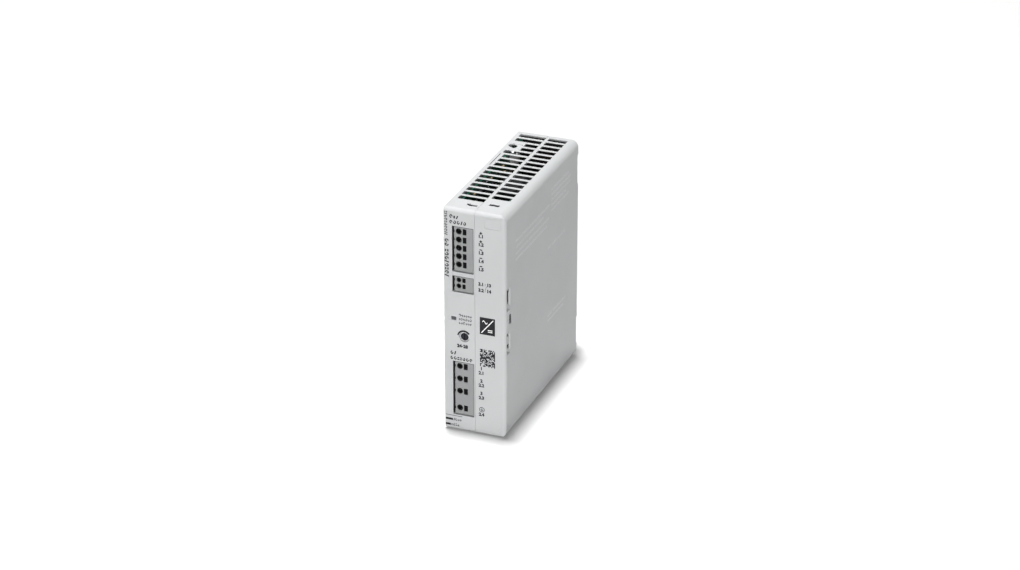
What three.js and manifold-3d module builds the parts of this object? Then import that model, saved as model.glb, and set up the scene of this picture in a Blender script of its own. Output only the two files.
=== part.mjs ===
// A DIN rail power supply: a narrow plastic housing in two halves, split down the middle, with vented
// top and bottom, push-in terminal blocks behind the front, and a sprung rail foot on the back.
//
// Frame: millimetres, +Z up, origin on the floor under the middle of the housing and rail foot.
// The front with the terminals faces -Y, and +X is to the right of somebody looking at the front.

import * as THREE from 'three';
import { mergeVertices } from 'three/addons/utils/BufferGeometryUtils.js';
import Module from 'manifold-3d';

const wasm = await Module();
wasm.setup();

// ---- Driving dimensions ----------------------------------------------------------------------

const WIDTH = 35;
const HEIGHT = 130;
const HOUSING_DEPTH = 107;
const RAIL_FOOT_DEPTH = 8;
const GAP = 0.3;

const SIDE_WALL = 1.8;
const FRONT_WALL = 2;
const REAR_WALL = 3;
const END_WALL = 1.8;

const SHARP_EDGE = 0.6;
const RIGHT_EDGE_RADIUS = 4.5;
const FRONT_EDGE_RADIUS = 2.4;

const FRONT_Y = -(HOUSING_DEPTH + RAIL_FOOT_DEPTH) / 2;
const LEFT_X = -WIDTH / 2;
const RIGHT_X = WIDTH / 2;

// Vents in the top and bottom, counted from the front.
const VENT_ROWS = 16;
const VENT_FIRST = 14.9;
const VENT_LAST = HOUSING_DEPTH - 5;
const VENT_LENGTH = 4;
const VENT_WALL = 0.8;
const VENT_PITCH = (VENT_LAST - VENT_FIRST) / (VENT_ROWS - 1);
const LEFT_VENT_START = -14.8;
const RIGHT_VENT_START = 1.9;
const RIGHT_VENT_END = 12.3;
const TAB_ROWS = [9, 10, 11];
const TAB_SHIFT = 1.5;
const SCREW_ROWS = [13, 14];
const SCREW_SHIFT = 7.4;
const HOUSING_SCREW = {
  x: -13.2, depth: 87.6, wellRadius: 2.4, wellDepth: 5, bossRadius: 3.7, bossDepth: 9.5,
};

// A shallow round dish beside the well of the housing screw.
const SCREW_DISH = { x: -10.9, radius: 3.3, depth: 0.5 };

// The three terminal blocks: the window in the front, and the heights of the ways.
const BLOCK_LEFT = -12.8;
const BLOCK_RIGHT = -0.9;
const BLOCK_RECESS = 0.7;
const WINDOW_LIP = 0.6;
const WINDOW_RELIEF = 1.2;
const BLOCK_DEPTH = 21;
const WIRE_DEPTH = 11;
const BLOCKS = [
  {
    name: 'output', low: 93.8, high: 119.6, ways: [116.9, 112.15, 107.4, 102.65, 97.9],
    wireX: -9.3, wireDiameter: 3.8, buttonX: -5.95, buttonWidth: 1.8, buttonHeight: 3.15,
  },
  {
    name: 'signal', low: 82.1, high: 91.1, ways: [88.9, 85.4],
    wireX: -9.4, wireDiameter: 3.0, buttonX: -6.45, buttonWidth: 1.6, buttonHeight: 2.3,
  },
  {
    name: 'input', low: 9.5, high: 41, ways: [38.3, 30.9, 23.5, 13.5],
    wireX: -9.2, wireDiameter: 3.8, buttonX: -5.75, buttonWidth: 2.0, buttonHeight: 3.2,
  },
];
const BUTTON_FRONT = 0.5;
const BUTTON_LENGTH = 5.5;
const BUTTON_TRAVEL = 1.5;

// Status light and output voltage trimmer.
const LIGHT = { x: -12.1, z: 66.5, width: 2.6, height: 1.8, length: 8 };
const TRIMMER = {
  x: -6.2, z: 56.3, holeRadius: 3.0, knobRadius: 2.15, knobFront: 0.7, knobLength: 4.6, slot: 0.8,
};

// Finger recesses and the slit near the front of the right side, as depths behind the front.
const SIDE_RECESS = { start: 2.4, end: 8.2, depth: 1, upper: [74.2, 85.7], lower: [49.4, 60.4] };
const SIDE_SLIT = { start: 5.4, end: 7, low: 66, high: 71.4 };

// The rear edge of the housing steps in above and below the middle, where a cover plate can clip on.
const REAR_STEP = 1.4;
const REAR_STEPS = [[HEIGHT - 25.5, HEIGHT - 8], [7.5, HEIGHT - 106]];

// Rail foot: a plate with a fixed jaw above the rail and a sprung latch below it (35 mm rail).
const RAIL_HEIGHT = 35;
const RAIL_MIDDLE = 64;
const RAIL_TOP = RAIL_MIDDLE + RAIL_HEIGHT / 2;
const RAIL_BOTTOM = RAIL_MIDDLE - RAIL_HEIGHT / 2;
const FOOT = {
  halfWidth: 14, bottom: 16, top: 104, plate: 3, pad: 0.3, brimGap: 1.9, jawLip: 2.2, jawTop: 90,
};
const LATCH_TRAVEL = 5;
const LATCH = { halfWidth: 5.6, flange: 7.8, thickness: 3.4, flangeThickness: 1.6, tab: 7 };
const SPRING = { radius: 1.5, wire: 0.6, turns: 7, bottom: 27.5, top: 40.5 };
const FOOT_SCREWS = { x: 9.6, z: 97.5, shank: 1.3, headRadius: 2.8, headHeight: 1.5, shankLength: 7.5 };

// Boards inside.
const BOARD = { left: -15, thickness: 1.6, front: 8, rear: 103.4, bottom: 2.4, top: 127.4 };
const BOARD_FACE = BOARD.left + BOARD.thickness;
const PART_FOOT = BOARD_FACE + GAP;
const CONTROL_BOARD = { x: 8.3, thickness: 1.2, front: 13, rear: 33, bottom: 60, top: 126 };

// ---- Materials -------------------------------------------------------------------------------

function material(colour, roughness, metalness = 0) {
  return new THREE.MeshStandardMaterial({ color: colour, roughness, metalness });
}

const LIGHT_GREY_PLASTIC = material(0xd2d3d4, 0.5);
const BLOCK_GREY_PLASTIC = material(0x9fa2a4, 0.45);
const BLACK_PLASTIC = material(0x1c1c1d, 0.4);
const DARK_LENS = material(0x3a3d40, 0.15);
const WHITE_PLASTIC = material(0xe4e3de, 0.4);
const BOARD_GREEN = material(0x2f6b4a, 0.4);
const FERRITE = material(0x2b2b2e, 0.6);
const COPPER_TAPE = material(0xd8b64a, 0.5);
const YELLOW_PLASTIC = material(0xd9b52e, 0.45);
const CAPACITOR_SLEEVE = material(0x27303a, 0.35);
const ALUMINIUM = material(0xb4b6b8, 0.4, 0.9);
const STEEL = material(0xa9abad, 0.35, 1);
const CERAMIC = material(0xcfc9b8, 0.6);

// ---- Shapes ----------------------------------------------------------------------------------

const back = (depth) => FRONT_Y + depth;

function solidOf(geometry) {
  const plain = geometry.clone();
  plain.deleteAttribute('normal');
  plain.deleteAttribute('uv');
  const merged = mergeVertices(plain, 1e-5);
  return new wasm.Manifold(new wasm.Mesh({
    numProp: 3,
    vertProperties: new Float32Array(merged.attributes.position.array),
    triVerts: new Uint32Array(merged.index.array),
  }));
}

function geometryOf(solid) {
  const mesh = solid.getMesh();
  const geometry = new THREE.BufferGeometry();
  geometry.setAttribute('position', new THREE.BufferAttribute(mesh.vertProperties, 3));
  geometry.setIndex(new THREE.BufferAttribute(mesh.triVerts, 1));
  return geometry;
}

// A box between two X values, two depths behind the front, and two heights.
function box(x0, x1, depth0, depth1, z0, z1) {
  const geometry = new THREE.BoxGeometry(x1 - x0, depth1 - depth0, z1 - z0);
  geometry.translate((x0 + x1) / 2, back((depth0 + depth1) / 2), (z0 + z1) / 2);
  return solidOf(geometry);
}

// A round bar along Y, from one depth to another.
function barY(x, z, radius, depth0, depth1, sides = 20) {
  const geometry = new THREE.CylinderGeometry(radius, radius, depth1 - depth0, sides);
  geometry.translate(x, back((depth0 + depth1) / 2), z);
  return solidOf(geometry);
}

// A round bar along X, standing on the main board.
function barX(depth, z, radius, x0, x1, sides = 24) {
  const geometry = new THREE.CylinderGeometry(radius, radius, x1 - x0, sides);
  geometry.rotateZ(Math.PI / 2);
  geometry.translate((x0 + x1) / 2, back(depth), z);
  return solidOf(geometry);
}

// A round bar along Z.
function barZ(x, depth, radius, z0, z1, sides = 20) {
  const geometry = new THREE.CylinderGeometry(radius, radius, z1 - z0, sides);
  geometry.rotateX(Math.PI / 2);
  geometry.translate(x, back(depth), (z0 + z1) / 2);
  return solidOf(geometry);
}

// A rectangle with a radius of its own at each corner, in the order
// bottom left, bottom right, top right, top left.
function roundedRectangle(u0, u1, v0, v1, radii) {
  const [bottomLeft, bottomRight, topRight, topLeft] = radii;
  const shape = new THREE.Shape();
  shape.absarc(u1 - bottomRight, v0 + bottomRight, bottomRight, -Math.PI / 2, 0);
  shape.absarc(u1 - topRight, v1 - topRight, topRight, 0, Math.PI / 2);
  shape.absarc(u0 + topLeft, v1 - topLeft, topLeft, Math.PI / 2, Math.PI);
  shape.absarc(u0 + bottomLeft, v0 + bottomLeft, bottomLeft, Math.PI, 1.5 * Math.PI);
  return shape;
}

function extruded(shape, length) {
  return new THREE.ExtrudeGeometry(shape, { depth: length, bevelEnabled: false, curveSegments: 5 });
}

// The outline of the housing, moved in by a wall on each face: the common part of three prisms, one
// for each direction in which it is looked at.
function housingSolid(side, front, rear, end) {
  const x0 = LEFT_X + side;
  const x1 = RIGHT_X - side;
  const y0 = FRONT_Y + front;
  const y1 = FRONT_Y + HOUSING_DEPTH - rear;
  const z0 = end;
  const z1 = HEIGHT - end;
  const sharp = SHARP_EDGE;
  const round = RIGHT_EDGE_RADIUS - side;
  const nose = FRONT_EDGE_RADIUS - front * 0.75;

  const fromFront = extruded(roundedRectangle(x0, x1, z0, z1, [sharp, round, round, sharp]), y1 - y0);
  fromFront.rotateX(Math.PI / 2);
  fromFront.translate(0, y1, 0);

  const fromSide = extruded(roundedRectangle(y0, y1, z0, z1, [nose, sharp, sharp, nose]), x1 - x0);
  fromSide.rotateX(Math.PI / 2);
  fromSide.rotateZ(Math.PI / 2);
  fromSide.translate(x0, 0, 0);

  const fromAbove = extruded(roundedRectangle(x0, x1, y0, y1, [sharp, nose, sharp, sharp]), z1 - z0);
  fromAbove.translate(0, 0, z0);

  return solidOf(fromFront).intersect(solidOf(fromSide)).intersect(solidOf(fromAbove));
}

// ---- The object ------------------------------------------------------------------------------

const supply = new THREE.Group();
supply.name = 'din_rail_power_supply';

function add(name, solid, meshMaterial) {
  const mesh = new THREE.Mesh(geometryOf(solid), meshMaterial);
  mesh.name = name;
  supply.add(mesh);
}

// ---- Housing halves --------------------------------------------------------------------------

function ventDepth(row) {
  return VENT_FIRST + (row - 1) * VENT_PITCH;
}

function leftVentStart(row) {
  if (TAB_ROWS.includes(row)) return LEFT_VENT_START + TAB_SHIFT;
  if (SCREW_ROWS.includes(row)) return LEFT_VENT_START + SCREW_SHIFT;
  return LEFT_VENT_START;
}

function vent(x0, x1, row, z0, z1) {
  const middle = ventDepth(row);
  return box(x0, x1, middle - VENT_LENGTH / 2, middle + VENT_LENGTH / 2, z0, z1);
}

// The left half takes the slots right up to the seam; the first row is on this half only.
function leftVents() {
  const cuts = [];
  for (let row = 1; row <= VENT_ROWS; row += 1) {
    cuts.push(vent(leftVentStart(row), 1, row, HEIGHT - END_WALL - 2, HEIGHT + 1));
    cuts.push(vent(LEFT_VENT_START, 1, row, -1, END_WALL + 2));
  }
  return cuts;
}

function rightVents() {
  const cuts = [];
  for (let row = 2; row <= VENT_ROWS; row += 1) {
    cuts.push(vent(RIGHT_VENT_START, RIGHT_VENT_END, row, HEIGHT - END_WALL - 2, HEIGHT + 1));
    cuts.push(vent(RIGHT_VENT_START, RIGHT_VENT_END, row, -1, END_WALL + 2));
  }
  return cuts;
}

function rearSteps() {
  return REAR_STEPS.map(([low, high]) => box(
    LEFT_X - 1, RIGHT_X + 1, HOUSING_DEPTH - REAR_STEP, HOUSING_DEPTH + 1, low, high,
  ));
}

// A screw boss behind the rear wall, with a pilot hole that is open at its inner end.
function rearBoss(x) {
  return barY(x, FOOT_SCREWS.z, 3.4, HOUSING_DEPTH - 9, HOUSING_DEPTH - REAR_WALL + 0.5, 16);
}

function rearBossHole(x) {
  return barY(x, FOOT_SCREWS.z, FOOT_SCREWS.shank + GAP, HOUSING_DEPTH - 10, HOUSING_DEPTH + 1, 12);
}

function frontOpenings() {
  const cuts = BLOCKS.map(
    (block) => box(BLOCK_LEFT, BLOCK_RIGHT, -1, FRONT_WALL + 1, block.low, block.high),
  );
  for (const block of BLOCKS) {
    cuts.push(box(
      BLOCK_LEFT - WINDOW_RELIEF, BLOCK_LEFT + 1, WINDOW_LIP, FRONT_WALL + 1, block.low, block.high,
    ));
  }
  const width = LIGHT.width / 2 + GAP;
  const height = LIGHT.height / 2 + GAP;
  cuts.push(box(LIGHT.x - width, LIGHT.x + width, -1, FRONT_WALL + 1, LIGHT.z - height, LIGHT.z + height));
  cuts.push(barY(TRIMMER.x, TRIMMER.z, TRIMMER.holeRadius, -1, FRONT_WALL + 1, 28));
  return cuts;
}

function cutAll(solid, cuts) {
  return cuts.reduce((rest, cut) => rest.subtract(cut), solid);
}

// Top and bottom are thinner round the vents: shallow pockets from inside, one in each half.
function ventPockets() {
  const front = VENT_FIRST - VENT_LENGTH / 2 - 0.6;
  const rear = VENT_LAST + VENT_LENGTH / 2 + 0.6;
  const spans = [[LEFT_VENT_START - 0.5, -1], [RIGHT_VENT_START - 0.5, RIGHT_VENT_END + 0.5]];
  const cuts = [];
  for (const [x0, x1] of spans) {
    cuts.push(box(x0, x1, front, rear, VENT_WALL, END_WALL + 0.5));
    cuts.push(box(x0, x1, front, rear, HEIGHT - END_WALL - 0.5, HEIGHT - VENT_WALL));
  }
  return cuts;
}

const wholeHousing = cutAll(
  housingSolid(0, 0, 0, 0).subtract(housingSolid(SIDE_WALL, FRONT_WALL, REAR_WALL, END_WALL)),
  [...rearSteps(), ...ventPockets()],
);
const everything = HOUSING_DEPTH + 5;

function leftShell() {
  const { x, depth, wellRadius, wellDepth, bossRadius, bossDepth } = HOUSING_SCREW;
  const boss = barZ(x, depth, bossRadius, HEIGHT - bossDepth, HEIGHT - 0.4, 24);
  const well = barZ(x, depth, wellRadius, HEIGHT - wellDepth, HEIGHT + 1, 24);
  const pilot = barZ(x, depth, 1.5, HEIGHT - bossDepth - 1, HEIGHT, 12);
  const dish = barZ(SCREW_DISH.x, depth, SCREW_DISH.radius, HEIGHT - SCREW_DISH.depth, HEIGHT + 1, 24);
  const half = box(LEFT_X - 1, -GAP / 2, -5, everything, -5, HEIGHT + 5);
  const solid = wholeHousing.intersect(half).add(boss.intersect(housingSolid(0, 0, 0, 0)))
    .add(rearBoss(-FOOT_SCREWS.x));
  const rearHole = rearBossHole(-FOOT_SCREWS.x);
  return cutAll(solid, [well, pilot, dish, rearHole, ...leftVents(), ...frontOpenings()]);
}

function rightShell() {
  const { start, end, depth, upper, lower } = SIDE_RECESS;
  const half = box(GAP / 2, RIGHT_X + 1, -5, everything, -5, HEIGHT + 5);
  const recesses = [upper, lower].map(
    ([low, high]) => box(RIGHT_X - depth, RIGHT_X + 1, start, end, low, high),
  );
  const slit = box(RIGHT_X - 4, RIGHT_X + 1, SIDE_SLIT.start, SIDE_SLIT.end, SIDE_SLIT.low, SIDE_SLIT.high);
  const solid = wholeHousing.intersect(half).add(rearBoss(FOOT_SCREWS.x));
  return cutAll(solid, [rearBossHole(FOOT_SCREWS.x), ...rightVents(), ...recesses, slit]);
}

function housingScrew() {
  const { x, depth, wellDepth } = HOUSING_SCREW;
  const seat = HEIGHT - wellDepth + GAP;
  const head = barZ(x, depth, 2, seat, seat + 1.8, 20);
  const shank = barZ(x, depth, 1.2, seat - 5.5, seat + 1, 12);
  const slot = box(x - 4, x + 4, depth - 0.3, depth + 0.3, seat + 1.1, seat + 3);
  return head.add(shank).subtract(slot);
}

add('left_shell', leftShell(), LIGHT_GREY_PLASTIC);
add('right_shell', rightShell(), LIGHT_GREY_PLASTIC);
add('housing_screw', housingScrew(), STEEL);

// ---- Terminal blocks and their release buttons -----------------------------------------------

function terminalBlock(block) {
  const body = box(
    BLOCK_LEFT + GAP, BLOCK_RIGHT - GAP, BLOCK_RECESS, BLOCK_DEPTH, block.low + GAP, block.high - GAP,
  );
  const cuts = [];
  const halfWidth = block.buttonWidth / 2 + GAP;
  const halfHeight = block.buttonHeight / 2 + GAP;
  const pocketEnd = BUTTON_FRONT + BUTTON_LENGTH + BUTTON_TRAVEL + 1;
  for (const z of block.ways) {
    cuts.push(barY(block.wireX, z, block.wireDiameter / 2, 0, WIRE_DEPTH, 16));
    cuts.push(box(
      block.buttonX - halfWidth, block.buttonX + halfWidth, 0, pocketEnd, z - halfHeight, z + halfHeight,
    ));
  }
  return cutAll(body, cuts);
}

function releaseButton(block, z) {
  const halfWidth = block.buttonWidth / 2;
  const halfHeight = block.buttonHeight / 2;
  const stem = box(
    block.buttonX - halfWidth, block.buttonX + halfWidth,
    BUTTON_FRONT, BUTTON_FRONT + BUTTON_LENGTH, z - halfHeight, z + halfHeight,
  );
  const slot = box(
    block.buttonX - halfWidth * 0.55, block.buttonX + halfWidth * 0.55,
    0, BUTTON_FRONT + 0.5, z - 0.3, z + 0.3,
  );
  return stem.subtract(slot);
}

for (const block of BLOCKS) {
  add(`${block.name}_terminal_block`, terminalBlock(block), BLOCK_GREY_PLASTIC);
  block.ways.forEach((z, index) => {
    add(`${block.name}_button_${index + 1}`, releaseButton(block, z), BLACK_PLASTIC);
  });
}

// ---- Status light and voltage trimmer --------------------------------------------------------

function statusLightGuide() {
  const { x, z, width, height, length } = LIGHT;
  return box(x - width / 2, x + width / 2, 0.2, length, z - height / 2, z + height / 2);
}

function statusLed() {
  const { x, z, length } = LIGHT;
  return box(PART_FOOT, x + 1.6, length + GAP, length + 3, z - 1.4, z + 1.4);
}

function trimmerBody() {
  const { x, z, knobRadius, knobFront, knobLength } = TRIMMER;
  const body = box(x - 4.5, x + 4.5, FRONT_WALL + GAP, 12, z - 4.5, z + 4.5);
  return body.subtract(barY(x, z, knobRadius + GAP, 0, knobFront + knobLength + GAP, 24));
}

function voltageTrimmer() {
  const { x, z, knobRadius, knobFront, knobLength, slot } = TRIMMER;
  const knob = barY(x, z, knobRadius, knobFront, knobFront + knobLength, 24);
  return knob.subtract(box(x - slot / 2, x + slot / 2, 0, knobFront + 0.9, z - 4, z + 4));
}

add('status_light_guide', statusLightGuide(), DARK_LENS);
add('status_led', statusLed(), WHITE_PLASTIC);
add('trimmer_body', trimmerBody(), BLOCK_GREY_PLASTIC);
add('voltage_trimmer', voltageTrimmer(), BLACK_PLASTIC);

// ---- Boards ----------------------------------------------------------------------------------

function mainBoard() {
  const { left, front, rear, bottom, top } = BOARD;
  const { depth, bossRadius, bossDepth } = HOUSING_SCREW;
  const board = box(left, BOARD_FACE, front, rear, bottom, top);
  const notch = box(
    left - 1, BOARD_FACE + 1, depth - bossRadius - GAP, depth + bossRadius + GAP,
    HEIGHT - bossDepth - 2.5, HEIGHT,
  );
  return board.subtract(notch);
}

function controlBoard() {
  const { x, thickness, front, rear, bottom, top } = CONTROL_BOARD;
  return box(x, x + thickness, front, rear, bottom, top);
}

add('main_board', mainBoard(), BOARD_GREEN);
add('control_board', controlBoard(), BOARD_GREEN);

// ---- Parts on the main board -----------------------------------------------------------------

const TRANSFORMER = {
  front: 45.5, rear: 76.5, bottom: 86, top: 119, left: -9.8, right: 9, leg: 10, limb: 3.6,
};

function transformerCore() {
  const { front, rear, bottom, top, left, right, leg, limb } = TRANSFORMER;
  const middle = (front + rear) / 2;
  const block = box(left, right, front, rear, bottom, top);
  return cutAll(block, [
    box(left - 1, right + 1, front + limb, middle - leg / 2, bottom + limb, top - limb),
    box(left - 1, right + 1, middle + leg / 2, rear - limb, bottom + limb, top - limb),
  ]);
}

function transformerWinding() {
  const { front, rear, bottom, top, left, right, leg, limb } = TRANSFORMER;
  const middle = (front + rear) / 2;
  const low = bottom + limb + GAP;
  const high = top - limb - GAP;
  const outer = box(PART_FOOT, right + 3, front + limb + GAP, rear - limb - GAP, low, high);
  const inner = box(
    left - GAP, right + GAP, middle - leg / 2 - GAP, middle + leg / 2 + GAP, low - 1, high + 1,
  );
  return outer.subtract(inner);
}

// A ring on edge against the board, with its hole along X.
function ring(depth, z, outerRadius, innerRadius, thickness) {
  const hole = barX(depth, z, innerRadius, PART_FOOT - 1, PART_FOOT + thickness + 1, 20);
  return barX(depth, z, outerRadius, PART_FOOT, PART_FOOT + thickness, 28).subtract(hole);
}

function canCapacitor(depth, z, radius, length) {
  return barX(depth, z, radius, PART_FOOT, PART_FOOT + length, 24);
}

// A heat sink: a plate across the housing with a foot along the board.
function heatSink(depth, z0, z1) {
  const plate = box(PART_FOOT, 12, depth, depth + 2, z0, z1);
  return plate.add(box(PART_FOOT, PART_FOOT + 1.6, depth - 4, depth + 1, z0, z1));
}

const PRIMARY_SINK = { depth: 58, bottom: 8, top: 66 };
const SECONDARY_SINK = { depth: 41, bottom: 70, top: 124 };

function powerPackage(sink, z, width, height) {
  return box(-8, -8 + height, sink.depth - 4.8, sink.depth - GAP, z - width / 2, z + width / 2);
}

add('transformer_core', transformerCore(), FERRITE);
add('transformer_winding', transformerWinding(), COPPER_TAPE);
add('input_choke', ring(39, 23, 12, 5, 15), FERRITE);
add('output_inductor', ring(87, 104, 8, 3.4, 14), COPPER_TAPE);
add('x_capacitor', box(PART_FOOT, 2, 27, 51, 42, 52), YELLOW_PLASTIC);
add('bulk_capacitor_1', canCapacitor(82, 21, 9, 26.5), CAPACITOR_SLEEVE);
add('bulk_capacitor_2', canCapacitor(82, 42, 9, 26.5), CAPACITOR_SLEEVE);
[93, 104.5, 116].forEach((z, index) => {
  add(`output_capacitor_${index + 1}`, canCapacitor(28.5, z, 5, 20), CAPACITOR_SLEEVE);
});
[60, 67].forEach((z, index) => {
  add(`input_fuse_${index + 1}`, canCapacitor(30, z, 2.9, 13), CERAMIC);
});
add('signal_relay', box(PART_FOOT, -4, 22, 35.5, 78, 85), WHITE_PLASTIC);
const primarySink = heatSink(PRIMARY_SINK.depth, PRIMARY_SINK.bottom, PRIMARY_SINK.top);
add('primary_heatsink', primarySink, ALUMINIUM);
add('bridge_rectifier', powerPackage(PRIMARY_SINK, 22, 20, 15), BLACK_PLASTIC);
add('switching_transistor', powerPackage(PRIMARY_SINK, 58, 10, 15), BLACK_PLASTIC);
const secondarySink = heatSink(SECONDARY_SINK.depth, SECONDARY_SINK.bottom, SECONDARY_SINK.top);
add('secondary_heatsink', secondarySink, ALUMINIUM);
add('output_rectifier', powerPackage(SECONDARY_SINK, 76.5, 10, 15), BLACK_PLASTIC);

// ---- Rail foot -------------------------------------------------------------------------------

// Depths behind the front of the plate's back and of the back of the jaw. The rail rests on a pad that
// stands a little proud of the plate.
const SEAT = HOUSING_DEPTH + GAP + FOOT.plate;
const FOOT_BACK = HOUSING_DEPTH + RAIL_FOOT_DEPTH;
const GUIDE_TOP = 37.5;
const LATCH_JAW_BOTTOM = GUIDE_TOP + LATCH_TRAVEL + 2 * GAP;
const LATCH_JAW_TOP = RAIL_BOTTOM + 2;
const STOP = { halfWidth: 2.4, bottom: 23.5, top: SPRING.bottom - GAP };

function railAdapter() {
  const { halfWidth, bottom, top, pad: padHeight, brimGap, jawLip, jawTop } = FOOT;
  const latchBack = SEAT + GAP + LATCH.thickness;
  const lipFront = SEAT + GAP + LATCH.flangeThickness + GAP;
  const plate = box(-halfWidth, halfWidth, HOUSING_DEPTH + GAP, SEAT, bottom, top);
  const jaw = box(-halfWidth, halfWidth, SEAT - 0.5, FOOT_BACK, RAIL_TOP + GAP, jawTop);
  const lip = box(-halfWidth, halfWidth, SEAT + brimGap, FOOT_BACK, RAIL_TOP - jawLip, RAIL_TOP + 1);
  const pad = box(
    -halfWidth + 1, halfWidth - 1, SEAT - 0.5, SEAT + padHeight,
    LATCH_JAW_TOP + GAP, RAIL_TOP - jawLip - GAP,
  );
  const stop = box(-STOP.halfWidth, STOP.halfWidth, SEAT - 0.5, latchBack, STOP.bottom, STOP.top);
  let solid = plate.add(pad).add(jaw).add(lip).add(stop);
  for (const side of [-1, 1]) {
    const inner = side * (LATCH.flange + GAP);
    const outer = side * (LATCH.flange + GAP + 2.4);
    const overhang = side * (LATCH.halfWidth + GAP);
    const [a, b] = [inner, outer].sort((p, q) => p - q);
    const [c, d] = [overhang, outer].sort((p, q) => p - q);
    solid = solid.add(box(a, b, SEAT - 0.5, latchBack, bottom + 2, GUIDE_TOP));
    solid = solid.add(box(c, d, lipFront, latchBack, bottom + 2, GUIDE_TOP));
  }
  const cuts = [-1, 1].map((side) => barY(
    side * FOOT_SCREWS.x, FOOT_SCREWS.z, FOOT_SCREWS.shank + GAP, HOUSING_DEPTH - 1, FOOT_BACK, 16,
  ));
  return cutAll(solid, cuts);
}

function footLatch() {
  const { halfWidth, flange, thickness, flangeThickness, tab } = LATCH;
  const front = SEAT + GAP;
  const shoulder = RAIL_BOTTOM - GAP;
  const bar = box(-halfWidth, halfWidth, front, front + thickness, tab, shoulder);
  const flanges = box(-flange, flange, front, front + flangeThickness, FOOT.bottom + 6, shoulder);
  const jaw = box(-flange, flange, front + flangeThickness, FOOT_BACK, LATCH_JAW_BOTTOM, LATCH_JAW_TOP);
  const window = box(
    -STOP.halfWidth - GAP, STOP.halfWidth + GAP, front - 1, front + thickness + 1,
    STOP.bottom - GAP, SPRING.top + GAP,
  );
  const pull = box(-2.5, 2.5, front - 1, front + thickness + 1, tab + 2.5, tab + 5.5);
  return bar.add(flanges).add(jaw).subtract(window).subtract(pull);
}

class SpringLine extends THREE.Curve {
  getPoint(t, target = new THREE.Vector3()) {
    const angle = 2 * Math.PI * SPRING.turns * t;
    const run = SPRING.top - SPRING.bottom - SPRING.wire;
    return target.set(
      SPRING.radius * Math.cos(angle), SPRING.radius * Math.sin(angle),
      SPRING.bottom + SPRING.wire / 2 + run * t,
    );
  }
}

function latchSpring() {
  const section = new THREE.Shape();
  section.absarc(0, 0, SPRING.wire / 2, 0, 2 * Math.PI);
  const geometry = new THREE.ExtrudeGeometry(section, {
    steps: SPRING.turns * 10, curveSegments: 3, bevelEnabled: false, extrudePath: new SpringLine(),
  });
  geometry.translate(0, back(SEAT + GAP + LATCH.thickness / 2), 0);
  return solidOf(geometry);
}

function footScrew(side) {
  const x = side * FOOT_SCREWS.x;
  const { z, shank, headRadius, headHeight, shankLength } = FOOT_SCREWS;
  const head = barY(x, z, headRadius, SEAT + GAP, SEAT + GAP + headHeight, 20);
  const stem = barY(x, z, shank, SEAT + 0.5 - shankLength - FOOT.plate, SEAT + 1, 12);
  const slot = box(x - 4, x + 4, SEAT + GAP + headHeight - 0.7, FOOT_BACK, z - 0.4, z + 0.4);
  return head.add(stem).subtract(slot);
}

add('rail_adapter', railAdapter(), ALUMINIUM);
add('foot_latch', footLatch(), BLACK_PLASTIC);
add('latch_spring', latchSpring(), STEEL);
add('rail_screw_left', footScrew(-1), STEEL);
add('rail_screw_right', footScrew(1), STEEL);

export default supply;
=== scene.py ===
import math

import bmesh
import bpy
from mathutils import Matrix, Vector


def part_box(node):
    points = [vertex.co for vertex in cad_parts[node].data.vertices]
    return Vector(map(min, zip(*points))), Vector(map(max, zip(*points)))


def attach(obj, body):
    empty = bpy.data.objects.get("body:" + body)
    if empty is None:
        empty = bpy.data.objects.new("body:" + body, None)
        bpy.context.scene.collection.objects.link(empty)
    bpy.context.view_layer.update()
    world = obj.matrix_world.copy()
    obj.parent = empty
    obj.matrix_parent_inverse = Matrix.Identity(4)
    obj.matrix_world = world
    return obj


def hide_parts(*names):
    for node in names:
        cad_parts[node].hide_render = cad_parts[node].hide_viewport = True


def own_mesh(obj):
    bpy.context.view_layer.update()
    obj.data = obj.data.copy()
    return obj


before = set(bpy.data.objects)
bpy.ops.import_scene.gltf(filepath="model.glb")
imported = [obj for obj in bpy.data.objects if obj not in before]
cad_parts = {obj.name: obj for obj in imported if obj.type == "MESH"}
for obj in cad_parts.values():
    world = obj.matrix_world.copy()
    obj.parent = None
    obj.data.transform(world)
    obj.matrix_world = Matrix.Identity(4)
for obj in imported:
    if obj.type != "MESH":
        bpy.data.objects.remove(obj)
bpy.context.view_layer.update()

# A DIN rail power supply in two plastic halves, with push-in terminals, on a pale floor.
# Lengths are in millimetres in the frame's own axes: the front faces -Y, +X is to the right of
# somebody looking at the front, and +Z is up. Meshes are scaled to metres as they are made.
# A "depth" is a distance behind the front.

MM = 0.001


# ---- Places from the frame ----

def corners(node):
    low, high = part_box(node)
    return Vector(low) / MM, Vector(high) / MM


def middle_of(node):
    low, high = corners(node)
    return (low + high) / 2


left_low, left_high = corners("left_shell")
LEFT, RIGHT = left_low.x, corners("right_shell")[1].x
FRONT, REAR = left_low.y, left_high.y
BOTTOM, TOP = left_low.z, left_high.z
DEPTH = REAR - FRONT
BLOCK_WAYS = {"output": 5, "signal": 2, "input": 4}
SCREW_PLACE = middle_of("housing_screw")
TRIMMER_PLACE = middle_of("voltage_trimmer")

# Walls and edges of the housing.
SIDE_WALL = 1.8
FRONT_WALL = 2.0
REAR_WALL = 3.0
LEFT_EDGE = 0.4
RIGHT_EDGE = 4.5
FRONT_EDGE = 2.4
REAR_EDGE = 0.5
SEAM_WIDTH = 0.16
SEAM_DEPTH = 0.3
REAR_STEP = 1.4
REAR_STEP_SPANS = ((TOP - 25.5, TOP - 8), (BOTTOM + 7.5, BOTTOM + 24))
OUTSIDE = 2

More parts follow.
